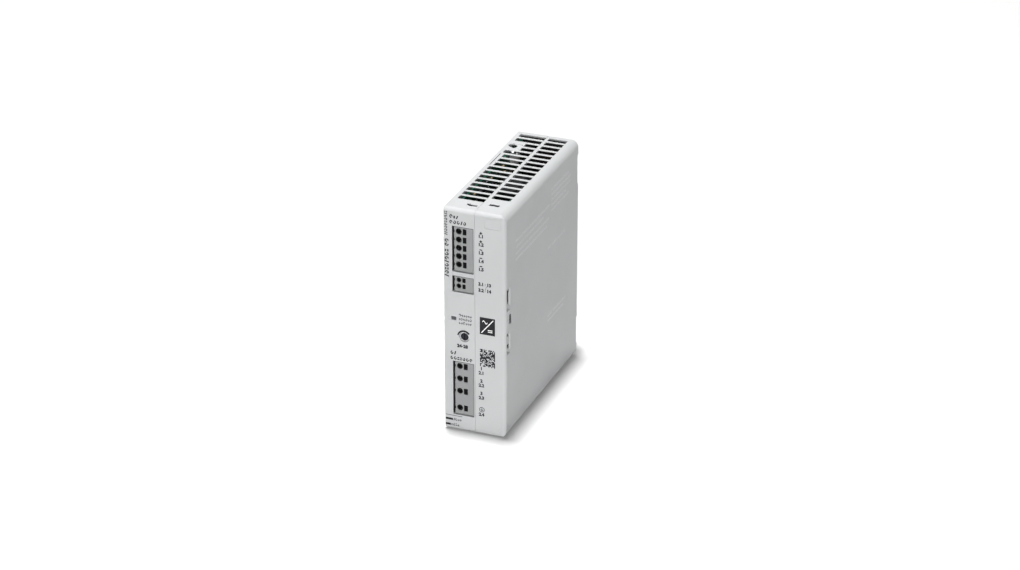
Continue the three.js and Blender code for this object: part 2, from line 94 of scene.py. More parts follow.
# Vents. The profile holds depth under the surface, width of the lip, and lean of the far side.
VENT_ROWS = 16
VENT_FIRST = 14.9
VENT_LAST = DEPTH - 5
VENT_LENGTH = 4.0
VENT_WALL = 0.8
VENT_LEAN = 1.1
VENT_PITCH = (VENT_LAST - VENT_FIRST) / (VENT_ROWS - 1)
VENT_PROFILE = (
    (-2, 0.15, 0), (0, 0.15, 0), (0.05, 0.06, 0), (0.2, 0, 0), (VENT_WALL, 0, VENT_LEAN), (4, 0, VENT_LEAN),
)
LEFT_VENTS = (-14.8, 1.0)
RIGHT_VENTS = (1.9, 12.3)
TAB_ROWS = (9, 10, 11)
TAB_SHIFT = 1.5
SCREW_ROWS = (13, 14)
SCREW_SHIFT = 7.4

# Openings. The top and the right side are thin where a slit goes through them.
SCREW_WELL = 2.4
SCREW_BORE = 1.4
SCREW_LIP = 1.0
BOSS_WALL = 1.3
BOSS_TOP = 5
BOSS_FOOT = 9.5
DISH_MIDDLE = -10.9
DISH_RADIUS = 3.3
DISH_DEPTH = 0.5
TRIMMER_HOLE = 2.85
WINDOW_GAPS = (0.3, 0.5, 0.4, 0.6)
NODE_GAP = 0.12
HOOK_WALL = 0.4
LEFT_HOOK_POCKET = (-7.6, -1, 6.0, 10.5)
RIGHT_HOOK_POCKET = (3.4, 10.0, 10.0, 14.5)
RIGHT_HOOK_SLOT = (3.9, 9.5, 9.9, 12.2)
FOOT_NOTCH = (2.2, 0.9, 0.7)
RECESS_DEPTH = 0.6
FOOT_DEPTH = 1.0
FOOT_HEIGHT = 2.3
SLIT_WALL = 0.25
SIDE_RECESSES = ((74.4, 86.9), (49.2, 61.5))
SIDE_SLITS = (
    (2.9, 4.9, 78.2, 85.6), (2.9, 5.8, 84.6, 86.5),
    (2.8, 5.4, 59.3, 61.1), (2.9, 5.7, 52.3, 54.5),
)
MIDDLE_SLIT = (4.9, 7.8, 66, 71.4)
LABEL_FIELD = (5.5, 14.6, 121.4, 127.4)
LABEL_LINE = 0.25


def back(depth):
    return FRONT + depth


def around(middle, half):
    return middle - half, middle + half


# ---- Outlines and lofted solids ----

def rectangle(u0, u1, v0, v1):
    return [(u0, v0), (u1, v0), (u1, v1), (u0, v1)]


def rounded_rectangle(u0, u1, v0, v1, radii, steps=6):
    """Counter-clockwise outline; radii start at the corner (u0, v0)."""
    if not isinstance(radii, tuple):
        radii = (radii,) * 4
    centres = ((u0, v0, 1, 1), (u1, v0, -1, 1), (u1, v1, -1, -1), (u0, v1, 1, -1))
    points = []
    for index, (u, v, su, sv) in enumerate(centres):
        radius = max(radii[index], 1e-3)
        for step in range(steps + 1):
            angle = math.pi + (index + step / steps) * math.pi / 2
            points.append((u + radius * (su + math.cos(angle)), v + radius * (sv + math.sin(angle))))
    return points


def circle(u, v, radius, steps=32):
    turn = 2 * math.pi / steps
    return [(u + radius * math.cos(turn * i), v + radius * math.sin(turn * i)) for i in range(steps)]


def loft(axis, levels):
    """A closed solid through outlines of equal length: levels holds (place along the axis, outline)."""
    vertices = []
    faces = []
    count = len(levels[0][1])
    for along, outline in levels:
        for u, v in outline:
            vertices.append({"X": (along, u, v), "Y": (u, along, v), "Z": (u, v, along)}[axis])
    for base in range(0, len(vertices) - count, count):
        for i in range(count):
            j = (i + 1) % count
            faces.append((base + i, base + j, base + count + j, base + count + i))
    faces.append(tuple(reversed(range(count))))
    faces.append(tuple(range(len(vertices) - count, len(vertices))))
    return vertices, faces


def prism(axis, start, end, outline):
    return loft(axis, [(start, outline), (end, outline)])


def softened(axis, start, end, outline_at, edge, steps=3):
    """A solid with rounded ends. outline_at takes how far the outline is moved in."""
    rounding = []
    for step in range(steps + 1):
        angle = step / steps * math.pi / 2
        rounding.append((edge * (1 - math.cos(angle)), outline_at(edge * (1 - math.sin(angle)))))
    levels = [(start + inward, outline) for inward, outline in rounding]
    levels += [(end - inward, outline) for inward, outline in reversed(rounding)]
    return loft(axis, levels)


def plain_box(x0, x1, y0, y1, z0, z1):
    return prism("Z", z0, z1, rectangle(x0, x1, y0, y1))


def block(x0, x1, y0, y1, z0, z1, edge=0.3, axis="Y"):
    """A box with every edge rounded."""
    spans = {"X": (y0, y1, z0, z1, x0, x1), "Y": (x0, x1, z0, z1, y0, y1), "Z": (x0, x1, y0, y1, z0, z1)}
    u0, u1, v0, v1, start, end = spans[axis]

    def outline_at(inset):
        return rounded_rectangle(u0 + inset, u1 - inset, v0 + inset, v1 - inset, max(edge - inset, 0.02), 3)

    return softened(axis, start, end, outline_at, edge)


def node_block(node, edge):
    """A box with rounded edges in the place of a frame node."""
    low, high = corners(node)
    return block(low.x, high.x, low.y, high.y, low.z, high.z, edge)


def rod(axis, u, v, radius, start, end, edge=0.2, steps=32):
    """A round bar with softened ends."""
    return softened(axis, start, end, lambda inset: circle(u, v, radius - inset, steps), edge)


def mouth(axis, surface, deep, outline_at, lip=0.3):
    """A cutter from outside a surface down to deep, with a rounded lip where it meets the surface."""
    inward = 1 if deep > surface else -1
    levels = [(surface - inward * OUTSIDE, outline_at(lip))]
    for share, spread in ((0.0, 1.0), (0.2, 0.45), (0.5, 0.15), (1.0, 0.0)):
        levels.append((surface + inward * lip * share, outline_at(lip * spread)))
    levels.append((deep, outline_at(0)))
    if inward < 0:
        levels.reverse()
    return loft(axis, levels)


def slot_outline(u0, u1, v0, v1, radius=0.25):
    def outline_at(spread):
        return rounded_rectangle(u0 - spread, u1 + spread, v0 - spread, v1 + spread, radius + spread, 3)
    return outline_at


def round_outline(u, v, radius, steps=32):
    return lambda spread: circle(u, v, radius + spread, steps)


# ---- Objects ----

def mesh_of(name, solids, more=()):
    """One mesh from solids in millimetres and further meshes in metres."""
    mesh = bpy.data.meshes.new(name)
    form = bmesh.new()
    for vertices, faces in solids:
        made = [form.verts.new(Vector(point) * MM) for point in vertices]
        for face in faces:
            form.faces.new([made[i] for i in face])
    bmesh.ops.recalc_face_normals(form, faces=form.faces)
    for other in more:
        form.from_mesh(other)
    form.to_mesh(mesh)
    form.free()
    return mesh


def new_object(name, data):
    thing = bpy.data.objects.new(name, data)
    bpy.context.scene.collection.objects.link(thing)
    return thing


def solid_object(name, solids):
    return new_object(name, mesh_of(name, solids))


def evaluated_mesh(thing):
    """The mesh that an object's curve, text or modifiers make."""
    graph = bpy.context.evaluated_depsgraph_get()
    return bpy.data.meshes.new_from_object(thing.evaluated_get(graph))


def combine_with(thing, tool, operation="DIFFERENCE"):
    """Cuts a tool from a thing, or joins or intersects the two, and removes the tool."""
    change = thing.modifiers.new("combine", "BOOLEAN")
    change.operation = operation
    change.solver = "MANIFOLD"
    change.object = tool
    result = evaluated_mesh(thing)
    old = thing.data
    thing.modifiers.clear()
    thing.data = result
    bpy.data.meshes.remove(old)
    bpy.data.objects.remove(tool)


def combine(thing, solids, operation="DIFFERENCE"):
    """Cuts, joins or intersects with solids that don't touch each other."""
    combine_with(thing, solid_object("tool", solids), operation)


def cut_in_turn(thing, solids):
    """Cuts solids that may touch each other."""
    for solid in solids:
        combine(thing, [solid])


def smooth(thing, angle):
    mesh = thing.data
    mesh.polygons.foreach_set("use_smooth", [True] * len(mesh.polygons))
    mesh.set_sharp_from_angle(angle=math.radians(angle))


def keep_flats_flat(thing, keep_sharp):
    weight = thing.modifiers.new("flat faces stay flat", "WEIGHTED_NORMAL")
    weight.keep_sharp = keep_sharp


def give_material(thing, material):
    thing.data.materials.clear()
    thing.data.materials.append(material)


def finish_piece(thing, body, material, nodes=(), angle=32):
    """Shading, material, body and slot; the slot has the material's name."""
    give_material(thing, material)
    smooth(thing, angle)
    keep_flats_flat(thing, True)
    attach(thing, body)
    if nodes:
        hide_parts(*nodes)


def piece(name, solids, material, body="housing", nodes=(), cuts=()):
    """One finished piece from solids, less its cuts."""
    thing = solid_object(name, solids)
    if cuts:
        combine(thing, cuts)
    finish_piece(thing, body, material, nodes)


# ---- Materials ----

def set_inputs(tree, node, inputs):
    """Sets sockets of a node to constants, or links them to the output sockets given."""
    for name, value in inputs.items():
        if isinstance(value, bpy.types.NodeSocket):
            tree.links.new(value, node.inputs[name])
        else:
            node.inputs[name].default_value = value


def add_node(tree, kind, inputs, output):
    """A new node with its inputs set; gives the output asked for."""
    node = tree.nodes.new("ShaderNode" + kind)
    set_inputs(tree, node, inputs)
    return node.outputs[output]


def node_material(name):
    material = bpy.data.materials.new(name)
    material.use_nodes = True
    tree = material.node_tree
    return material, tree, tree.nodes["Principled BSDF"]


def object_coordinates(tree, scale=(1, 1, 1)):
    place = add_node(tree, "TexCoord", {}, "Object")
    return add_node(tree, "Mapping", {"Vector": place, "Scale": scale}, "Vector")


def noise(tree, vector, scale, detail=3.0, roughness=0.5):
    inputs = {"Vector": vector, "Scale": scale, "Detail": detail, "Roughness": roughness}
    return add_node(tree, "TexNoise", inputs, "Fac")


def tint(tree, shader, value, low, high, start=0.3, end=0.7):
    """Colours the surface from low to high as a value goes from start to end."""
    ramp = tree.nodes.new("ShaderNodeValToRGB")
    for element, place, colour in zip(ramp.color_ramp.elements, (start, end), (low, high)):
        element.position = place
        element.color = (*colour, 1)
    tree.links.new(value, ramp.inputs["Fac"])
    tree.links.new(ramp.outputs["Color"], shader.inputs["Base Color"])


def spread(tree, value, low, high):
    return add_node(tree, "MapRange", {"Value": value, "To Min": low, "To Max": high}, "Result")


def bump(tree, shader, height, distance, strength):
    inputs = {"Height": height, "Distance": distance * MM, "Strength": strength}
    tree.links.new(add_node(tree, "Bump", inputs, "Normal"), shader.inputs["Normal"])


def shade(colour, factor):
    return tuple(min(channel * factor, 1) for channel in colour)


def moulded_plastic(name, colour, roughness, grain=0.03, grain_scale=2600, variation=0.035, shine=0.5):
    """Injection-moulded plastic: fine spark-eroded grain, slight flow marks in colour and gloss."""
    material, tree, shader = node_material(name)
    place = object_coordinates(tree)
    flow = noise(tree, place, 28, 2)
    tint(tree, shader, flow, shade(colour, 1 - variation), shade(colour, 1 + variation))
    fine = noise(tree, place, grain_scale, 3, 0.6)
    gloss = spread(tree, fine, roughness - 0.06, roughness + 0.08)
    set_inputs(tree, shader, {"Roughness": gloss, "IOR": 1.5, "Specular IOR Level": shine})
    bump(tree, shader, fine, grain, 0.35)
    return material


def metal(name, colour, roughness):
    """Rolled or milled metal with a fine lay along Z."""
    material, tree, shader = node_material(name)
    lay = noise(tree, object_coordinates(tree, (1, 1, 30)), 120, 4, 0.6)
    tint(tree, shader, lay, shade(colour, 0.88), shade(colour, 1.06))
    gloss = spread(tree, lay, roughness - 0.08, roughness + 0.12)
    set_inputs(tree, shader, {"Metallic": 1, "Roughness": gloss})
    bump(tree, shader, lay, 0.02, 0.4)
    return material


def printed_ink(name, colour, low=0.8, high=1.4):
    """Dull ink whose tone varies between two factors."""
    material, tree, shader = node_material(name)
    blot = noise(tree, object_coordinates(tree), 1800)
    tint(tree, shader, blot, shade(colour, low), shade(colour, high), 0.35)
    set_inputs(tree, shader, {"Roughness": 0.6, "Specular IOR Level": 0.12})
    return material


def circuit_board(name):
    """Green solder mask with fine rows of copper tracks under it."""
    material, tree, shader = node_material(name)
    turned = tree.nodes.new("ShaderNodeVectorRotate")
    turned.rotation_type = "Y_AXIS"
    set_inputs(tree, turned, {"Vector": object_coordinates(tree), "Angle": math.pi / 2})
    tracks = tree.nodes.new("ShaderNodeTexBrick")
    set_inputs(tree, tracks, {
        "Vector": turned.outputs["Vector"],
        "Scale": 60,
        "Mortar Size": 0.06,
        "Brick Width": 0.9,
        "Row Height": 0.16,
        "Color1": (0.022, 0.1, 0.058, 1),
        "Color2": (0.028, 0.125, 0.07, 1),
        "Mortar": (0.01, 0.05, 0.03, 1),
    })
    set_inputs(tree, shader, {"Base Color": tracks.outputs["Color"], "Roughness": 0.28})
    bump(tree, shader, tracks.outputs["Fac"], 0.04, 0.5)
    return material


def copper_wire(name):
    material, tree, shader = node_material(name)
    lacquer = noise(tree, object_coordinates(tree), 90)
    tint(tree, shader, lacquer, (0.42, 0.14, 0.05), (0.62, 0.25, 0.1))
    set_inputs(tree, shader, {"Metallic": 0.8, "Roughness": 0.28})
    return material


def smoked_lens(name):
    material, tree, shader = node_material(name)
    haze = noise(tree, object_coordinates(tree), 500, 2)
    tint(tree, shader, haze, (0.018, 0.019, 0.021), (0.032, 0.034, 0.036))
    set_inputs(tree, shader, {"Roughness": 0.12, "Coat Weight": 0.6})
    return material


HOUSING = moulded_plastic("housing_plastic", (0.385, 0.392, 0.395), 0.4, shine=0.25)
BLOCK = moulded_plastic("block_plastic", (0.212, 0.216, 0.218), 0.45, shine=0.3)
BLACK = moulded_plastic("black_plastic", (0.008, 0.008, 0.009), 0.5, shine=0.25)
BUTTON = moulded_plastic("button_plastic", (0.005, 0.005, 0.006), 0.6, shine=0.06)
TRIM = moulded_plastic("trimmer_plastic", (0.012, 0.012, 0.018), 0.4, shine=0.2)
WHITE = moulded_plastic("white_plastic", (0.72, 0.71, 0.67), 0.35)
YELLOW = moulded_plastic("yellow_plastic", (0.62, 0.42, 0.05), 0.35)
SLEEVE = moulded_plastic("capacitor_sleeve", (0.02, 0.024, 0.04), 0.3, 0.015, 900)
TAPE = moulded_plastic("winding_tape", (0.66, 0.45, 0.12), 0.35, 0.02, 400)
FERRITE = moulded_plastic("ferrite", (0.035, 0.034, 0.036), 0.6, 0.05, 1500)
CERAMIC = moulded_plastic("ceramic", (0.62, 0.58, 0.5), 0.55)
ALUMINIUM = metal("aluminium", (0.72, 0.725, 0.73), 0.36)
# Near black: partly an anodised finish, partly painted shade that darkens the heat sinks seen through the
# vents.
ANODISED_AND_SHADE = moulded_plastic("black_anodised_and_shade", (0.012, 0.013, 0.014), 0.5, 0.02, 1200, 0.1, 0.3)
CHIP = moulded_plastic("chip_ceramic", (0.3, 0.22, 0.13), 0.45, shine=0.2)
SOLDER = metal("solder", (0.3, 0.3, 0.31), 0.5)
STEEL = metal("steel", (0.62, 0.625, 0.63), 0.3)
COPPER = copper_wire("copper_wire")
BOARD = circuit_board("circuit_board")
LENS = smoked_lens("light_guide")
INK = printed_ink("dark_ink", (0.016, 0.016, 0.018))
GREY_INK = printed_ink("grey_ink", (0.1, 0.102, 0.105))
# A lighter tone than the housing: a painted highlight that stands in for the lit edges of raised lettering on
# the side.
SIDE_HIGHLIGHT_INK = printed_ink("side_painted_highlight", (0.52, 0.525, 0.53), 0.94, 1.06)
PALE_INK = printed_ink("pale_ink", (0.74, 0.745, 0.75))


# ---- Housing ----

def housing_solid(name, side, front, rear, end):
    """The housing's outline moved in by its walls: the common part of a prism for each direction."""
    x0, x1 = LEFT + side, RIGHT - side
    y0, y1 = FRONT + front, REAR - rear
    z0, z1 = BOTTOM + end, TOP - end
    round_edge = RIGHT_EDGE - side
    nose = max(FRONT_EDGE - front * 0.75, 0.4)
    from_front = rounded_rectangle(x0, x1, z0, z1, (LEFT_EDGE, round_edge, round_edge, LEFT_EDGE), 14)
    from_side = rounded_rectangle(y0, y1, z0, z1, (nose, REAR_EDGE, REAR_EDGE, nose), 12)
    from_above = rounded_rectangle(x0, x1, y0, y1, (LEFT_EDGE, nose, REAR_EDGE, REAR_EDGE), 12)
    solid = solid_object(name, [prism("Y", y0, y1, from_front)])
    combine(solid, [prism("X", x0, x1, from_side)], "INTERSECT")
    combine(solid, [prism("Z", z0, z1, from_above)], "INTERSECT")
    return solid


def seam_groove():
    """A shallow groove all round where the halves meet: a thin slab less the outline moved in."""
    half = SEAM_WIDTH / 2
    slab = solid_object("seam", [plain_box(*around(0, half), FRONT - 1, REAR + 1, BOTTOM - 1, TOP + 1)])
    nose = FRONT_EDGE - SEAM_DEPTH
    inner = rounded_rectangle(
        FRONT + SEAM_DEPTH, REAR - SEAM_DEPTH, BOTTOM + SEAM_DEPTH, TOP - SEAM_DEPTH,
        (nose, REAR_EDGE, REAR_EDGE, nose), 12,
    )
    combine(slab, [prism("X", -1, 1, inner)])
    return slab


def rear_step_cut(low, high):
    """The back edge steps in between two heights."""
    return plain_box(LEFT - OUTSIDE, RIGHT + OUTSIDE, REAR - REAR_STEP, REAR + OUTSIDE, low, high)


def vent_depth(row):
    return VENT_FIRST + (row - 1) * VENT_PITCH


def vent_cut(x0, x1, row, top):
    """A slot with rounded lips, whose far side leans back under the next rib."""
    middle = back(vent_depth(row))
    near, far = middle - VENT_LENGTH / 2, middle + VENT_LENGTH / 2
    surface, inward = (TOP, -1) if top else (BOTTOM, 1)
    levels = []
    for depth, lip, lean in VENT_PROFILE:
        outline = rounded_rectangle(x0 - lip, x1 + lip, near - lip, far + lip + lean, 0.25 + lip, 3)
        levels.append((surface + inward * depth, outline))
    if top:
        levels.reverse()
    return loft("Z", levels)


def left_vents():
    """Vents beside the snap tab and the screw start further in, in the top only."""
    start, end = LEFT_VENTS
    cuts = []
    for row in range(1, VENT_ROWS + 1):
        shift = TAB_SHIFT if row in TAB_ROWS else SCREW_SHIFT if row in SCREW_ROWS else 0
        cuts.append(vent_cut(start + shift, end, row, True))
        cuts.append(vent_cut(start, end, row, False))
    return cuts


def right_vents():
    return [vent_cut(*RIGHT_VENTS, row, top) for row in range(2, VENT_ROWS + 1) for top in (True, False)]


def vent_pockets():
    """Shallow pockets from inside: the top and the bottom are thinner round the vents."""
    margin, rear_margin = 0.5, 0.6
    front = back(VENT_FIRST - VENT_LENGTH / 2 - rear_margin)
    rear = back(VENT_LAST + VENT_LENGTH / 2 + rear_margin)
    past_wall = SIDE_WALL + 0.5
    cuts = []
    for x0, x1 in ((LEFT_VENTS[0] - margin, -1.0), (RIGHT_VENTS[0] - margin, RIGHT_VENTS[1] + margin)):
        cuts.append(plain_box(x0, x1, front, rear, BOTTOM + VENT_WALL, BOTTOM + past_wall))
        cuts.append(plain_box(x0, x1, front, rear, TOP - past_wall, TOP - VENT_WALL))
    return cuts


def outline_round(node, gaps, radius):
    """A node's own outline from the front, and a gap on its left, right, lower and upper side."""
    low, high = corners(node)
    left, right, below, above = gaps
    return slot_outline(low.x - left, high.x + right, low.z - below, high.z + above, radius)


def front_opening(outline, lip=0.12):
    return mouth("Y", FRONT, FRONT + FRONT_WALL + 1, outline, lip)


def window_reliefs():
    """The front wall is thin along the left edge of each terminal window."""
    thin_wall = 0.6
    cuts = []
    for name in BLOCK_WAYS:
        low, high = corners(f"{name}_terminal_block")
        inside = (FRONT + thin_wall, FRONT + FRONT_WALL + 1)
        cuts.append(plain_box(low.x - 1.5, low.x + 0.7, *inside, low.z - 0.3, high.z + 0.3))
    return cuts


def tab_slit():
    """The fine slit beside the slots that frees a snap tab in the left edge of the top."""
    start = back(vent_depth(TAB_ROWS[0]) - 2.4)
    end = back(vent_depth(TAB_ROWS[-1]) + 2.4)
    middle = LEFT_VENTS[0] - 0.5
    return mouth("Z", TOP, TOP - 1.2, slot_outline(*around(middle, 0.2), start, end, 0.1), 0.1)


def hook_pocket(x0, x1, front, rear):
    """The top is thin behind the openings for the snap hooks."""
    return plain_box(x0, x1, back(front), back(rear), TOP - 3, TOP - HOOK_WALL)


def latch_mark():
    """A thin slot whose left end is a quarter of an arc, around the tip of a snap hook near the front."""
    left, right, front = -7.4, -1.2, 6.0
    width, radius = 1.9, 2.6
    steps = 8
    outer = []
    inner = []
    for step in range(steps + 1):
        angle = math.pi + step / steps * math.pi / 2
        for side, reach in ((outer, radius), (inner, radius - width)):
            side.append((left + radius + reach * math.cos(angle), front + radius + reach * math.sin(angle)))
    outline = [*outer, (right, front), (right, front + width), *reversed(inner)]
    return prism("Z", TOP - 3, TOP + 1, [(x, back(depth)) for x, depth in outline])


def keep_between(whole, x0, x1):
    """Cuts off what lies outside x0 to x1."""
    space = plain_box(x0, x1, FRONT - OUTSIDE, REAR + OUTSIDE, BOTTOM - OUTSIDE, TOP + OUTSIDE)
    combine(whole, [space], "INTERSECT")


def screw_well(whole):
    """A thin lip, a boss, a shallow dish and a stepped hole for the housing screw."""
    x, y = SCREW_PLACE.xy
    room = plain_box(LEFT + SIDE_WALL - 0.2, x + SCREW_WELL + 2, y - 3.6, y + 5, TOP - 3, TOP - SCREW_LIP)
    dish = mouth("Z", TOP, TOP - DISH_DEPTH, round_outline(DISH_MIDDLE, y, DISH_RADIUS, 48), 0.15)
    combine(whole, [room])
    combine(whole, [rod("Z", x, y, SCREW_WELL + BOSS_WALL, TOP - BOSS_FOOT, TOP - BOSS_TOP, 0.3)], "UNION")
    well = rod("Z", x, y, SCREW_WELL, TOP - 4, TOP + 1, 0.05, 40)
    bore = rod("Z", x, y, SCREW_BORE, TOP - BOSS_FOOT - 1.5, TOP - 3, 0.1, 16)
    cut_in_turn(whole, [dish, well, bore])


def left_half(whole):
    """The half that holds the terminals, the light, the trimmer and the screw."""
    keep_between(whole, LEFT - OUTSIDE, 0)
    screw_well(whole)
    combine(whole, left_vents())
    windows = [outline_round(f"{name}_terminal_block", WINDOW_GAPS, 0.3) for name in BLOCK_WAYS]
    combine(whole, [front_opening(window) for window in windows])
    combine(whole, window_reliefs())
    combine(whole, [hook_pocket(*LEFT_HOOK_POCKET)])
    light = front_opening(outline_round("status_light_guide", (NODE_GAP,) * 4, 0.2))
    ring = front_opening(round_outline(TRIMMER_PLACE.x, TRIMMER_PLACE.z, TRIMMER_HOLE, 48), 0.2)
    combine(whole, [light, ring, tab_slit(), latch_mark()])


def side_recess(low, high):
    """A shallow finger recess near the front edge of the right side; its foot runs out behind as a ramp."""
    foot_top = low + FOOT_HEIGHT
    shallow = plain_box(RIGHT - RECESS_DEPTH, RIGHT + OUTSIDE, back(1.4), back(6.0), foot_top - 0.1, high)
    foot = loft("X", [
        (RIGHT - FOOT_DEPTH, rectangle(back(1.5), back(3.4), low + 1.2, foot_top)),
        (RIGHT + 1, rectangle(back(1.4), back(9.4), low - 1.2, foot_top)),
    ])
    return shallow, foot


def side_slit(front, rear, low, high, recess=RECESS_DEPTH, behind=2.6):
    """A slit through the bottom of a recess, and the pocket that makes the wall thin there."""
    outer_face = RIGHT - recess - SLIT_WALL
    pocket = plain_box(RIGHT - 3, outer_face, back(front - 0.1), back(rear + behind), low - 0.4, high + 0.4)
    return pocket, plain_box(RIGHT - 2, RIGHT + 1, back(front), back(rear), low, high)


def label_line():
    """A fine engraved line round the label field at the top of the front."""
    x0, x1, z0, z1 = LABEL_FIELD
    outer = rounded_rectangle(x0, x1, z0, z1, 0.8)
    inner = rounded_rectangle(x0 + LABEL_LINE, x1 - LABEL_LINE, z0 + LABEL_LINE, z1 - LABEL_LINE, 0.6)
    line = solid_object("label_line", [prism("Y", FRONT - 1, FRONT + 0.12, outer)])
    combine(line, [prism("Y", FRONT - 2, FRONT + 1, inner)])
    return line


def right_half(whole):
    """The half with the finger recesses in its side and the notch at its foot."""
    keep_between(whole, 0, RIGHT + OUTSIDE)
    combine(whole, right_vents())
    for recess in SIDE_RECESSES:
        cut_in_turn(whole, side_recess(*recess))
    cut_in_turn(whole, side_slit(*MIDDLE_SLIT, 0, 3.2))
    for slit in SIDE_SLITS:
        cut_in_turn(whole, side_slit(*slit))
    width, depth, height = FOOT_NOTCH
    combine(whole, [plain_box(-1, width, FRONT - 1, FRONT + depth, BOTTOM - 1, BOTTOM + height)])
    combine_with(whole, label_line())
    x0, x1, front, rear = RIGHT_HOOK_SLOT
    hook_slot = mouth("Z", TOP, TOP - 3, slot_outline(x0, x1, back(front), back(rear), 0.2), 0.1)
    cut_in_turn(whole, [hook_pocket(*RIGHT_HOOK_POCKET), hook_slot])


def make_housing():
    left = housing_solid("left_housing", 0, 0, 0, 0)
    combine_with(left, housing_solid("cavity", SIDE_WALL, FRONT_WALL, REAR_WALL, SIDE_WALL))
    combine(left, [rear_step_cut(*span) for span in REAR_STEP_SPANS])
    combine(left, vent_pockets())
    combine_with(left, seam_groove())
    right = new_object("right_housing", left.data.copy())
    left_half(left)
    right_half(right)
    finish_piece(left, "housing", HOUSING, ["left_shell"])
    finish_piece(right, "housing", HOUSING, ["right_shell"])


make_housing()


# ---- Terminal blocks and release buttons ----

WIRE_PLACES = {"output": (-9.3, 3.8), "signal": (-9.4, 3.1), "input": (-9.2, 3.8)}
GROOVE_WIDTH = 0.75
GROOVE_DEPTH = 2.4
WIRE_DEPTH = 9.5
BUTTON_DEPTH = 8.5


def way_heights(name):
    return [middle_of(f"{name}_button_{index + 1}").z for index in range(BLOCK_WAYS[name])]


def terminal_block(name):
    """A block with a scalloped groove down its left side, a round funnel and a button slot at each way."""
    node = f"{name}_terminal_block"
    low, high = corners(node)
    wire_x, diameter = WIRE_PLACES[name]
    body = solid_object(f"{name}_block", [node_block(node, 0.2)])
    groove_floor = low.y + GROOVE_DEPTH
    groove_side = low.x + GROOVE_WIDTH
    combine(body, [plain_box(low.x - 1, groove_side, low.y - 1, groove_floor, low.z - 1, high.z + 1)])
    scallops = []
    funnels = []
    slots = []
    for index, z in enumerate(way_heights(name)):
        scallops.append(rod("Y", groove_side - 0.55, z, 1.0, low.y - 1, groove_floor, 0.05, 24))
        funnel = round_outline(wire_x, z, diameter / 2 - 0.25)
        funnels.append(mouth("Y", low.y, low.y + WIRE_DEPTH, funnel, 0.4))
        shaft = outline_round(f"{name}_button_{index + 1}", (NODE_GAP,) * 4, 0.15)
        slots.append(mouth("Y", low.y, low.y + BUTTON_DEPTH, shaft, 0.1))
    for cuts in (scallops, funnels, slots):
        combine(body, cuts)
    finish_piece(body, "housing", BLOCK, [node])


def clamp_contact(name, index, z):
    """The bright clamp spring and current bar that show at the bottom of a wire entry."""
    wire_x, diameter = WIRE_PLACES[name]
    half = diameter / 2 - 0.35
    front = corners(f"{name}_terminal_block")[0].y + 2.2
    left, tip, right = wire_x - half, wire_x + half * 0.5, wire_x + half
    leaf = [(left, front), (left + 0.25, front), (tip, front + 4.2), (tip - 0.3, front + 4.4)]
    spring = prism("Z", *around(z, half * 0.6), leaf)
    bar_thickness, bar_length = 0.35, 4.6
    bar = block(right - bar_thickness, right, front, front + bar_length, *around(z, half * 0.7), 0.08)
    piece(f"{name}_contact_{index + 1}", [spring, bar], STEEL)


def entry_shade_linings(name):
    """Black collars inside the wire entries and a black strip on the floor of the groove: painted shade, dark
    parts that stand in for the shade deep in the entries and the groove.
    """
    low, high = corners(f"{name}_terminal_block")
    wire_x, diameter = WIRE_PLACES[name]
    front = low.y + 0.3
    shade_collars = []
    bores = []
    for z in way_heights(name):
        # Painted shade: the black collars darken the inside of each wire entry.
        shade_collars.append(rod("Y", wire_x, z, diameter / 2 - 0.27, front, low.y + 8.5, 0.1))
        bores.append(mouth("Y", front, low.y + 12, round_outline(wire_x, z, diameter / 2 - 0.6), 0.15))
    piece(f"{name}_entry_shade_linings", shade_collars, BLACK, cuts=bores)
    # Painted shade: a black strip that darkens the groove down the left side of the block.
    strip = block(low.x - 1.0, low.x + 1.2, low.y + 2.5, low.y + 3.2, low.z + 0.1, high.z - 0.1, 0.1)
    piece(f"{name}_groove_shade_strip", [strip], BLACK)


def release_button(name, index):
    """A black push button with a screwdriver slot in its face."""
    node = f"{name}_button_{index + 1}"
    low, high = corners(node)
    middle = middle_of(node)
    half_length = (high.x - low.x) * 0.3
    half_width = 0.32
    floor = low.y + 0.55
    notch = plain_box(*around(middle.x, half_length), low.y - 1, floor, *around(middle.z, half_width))
    piece(node + "_cap", [node_block(node, 0.18)], BUTTON, node, [node], [notch])


for block_name in BLOCK_WAYS:
    terminal_block(block_name)
    entry_shade_linings(block_name)
    for way, way_z in enumerate(way_heights(block_name)):
        clamp_contact(block_name, way, way_z)
        release_button(block_name, way)


# ---- Status light and trimmer ----

def status_light():
    piece("status_lens", [node_block("status_light_guide", 0.15)], LENS, nodes=["status_light_guide"])
    low, high = corners("status_led")
    dome = rod("Y", high.x - 1.6, (low.z + high.z) / 2, 0.9, low.y - 0.25, low.y + 0.6, 0.25, 20)
    package = node_block("status_led", 0.25)
    piece("status_led_package", [package, dome], WHITE, nodes=["status_led"])


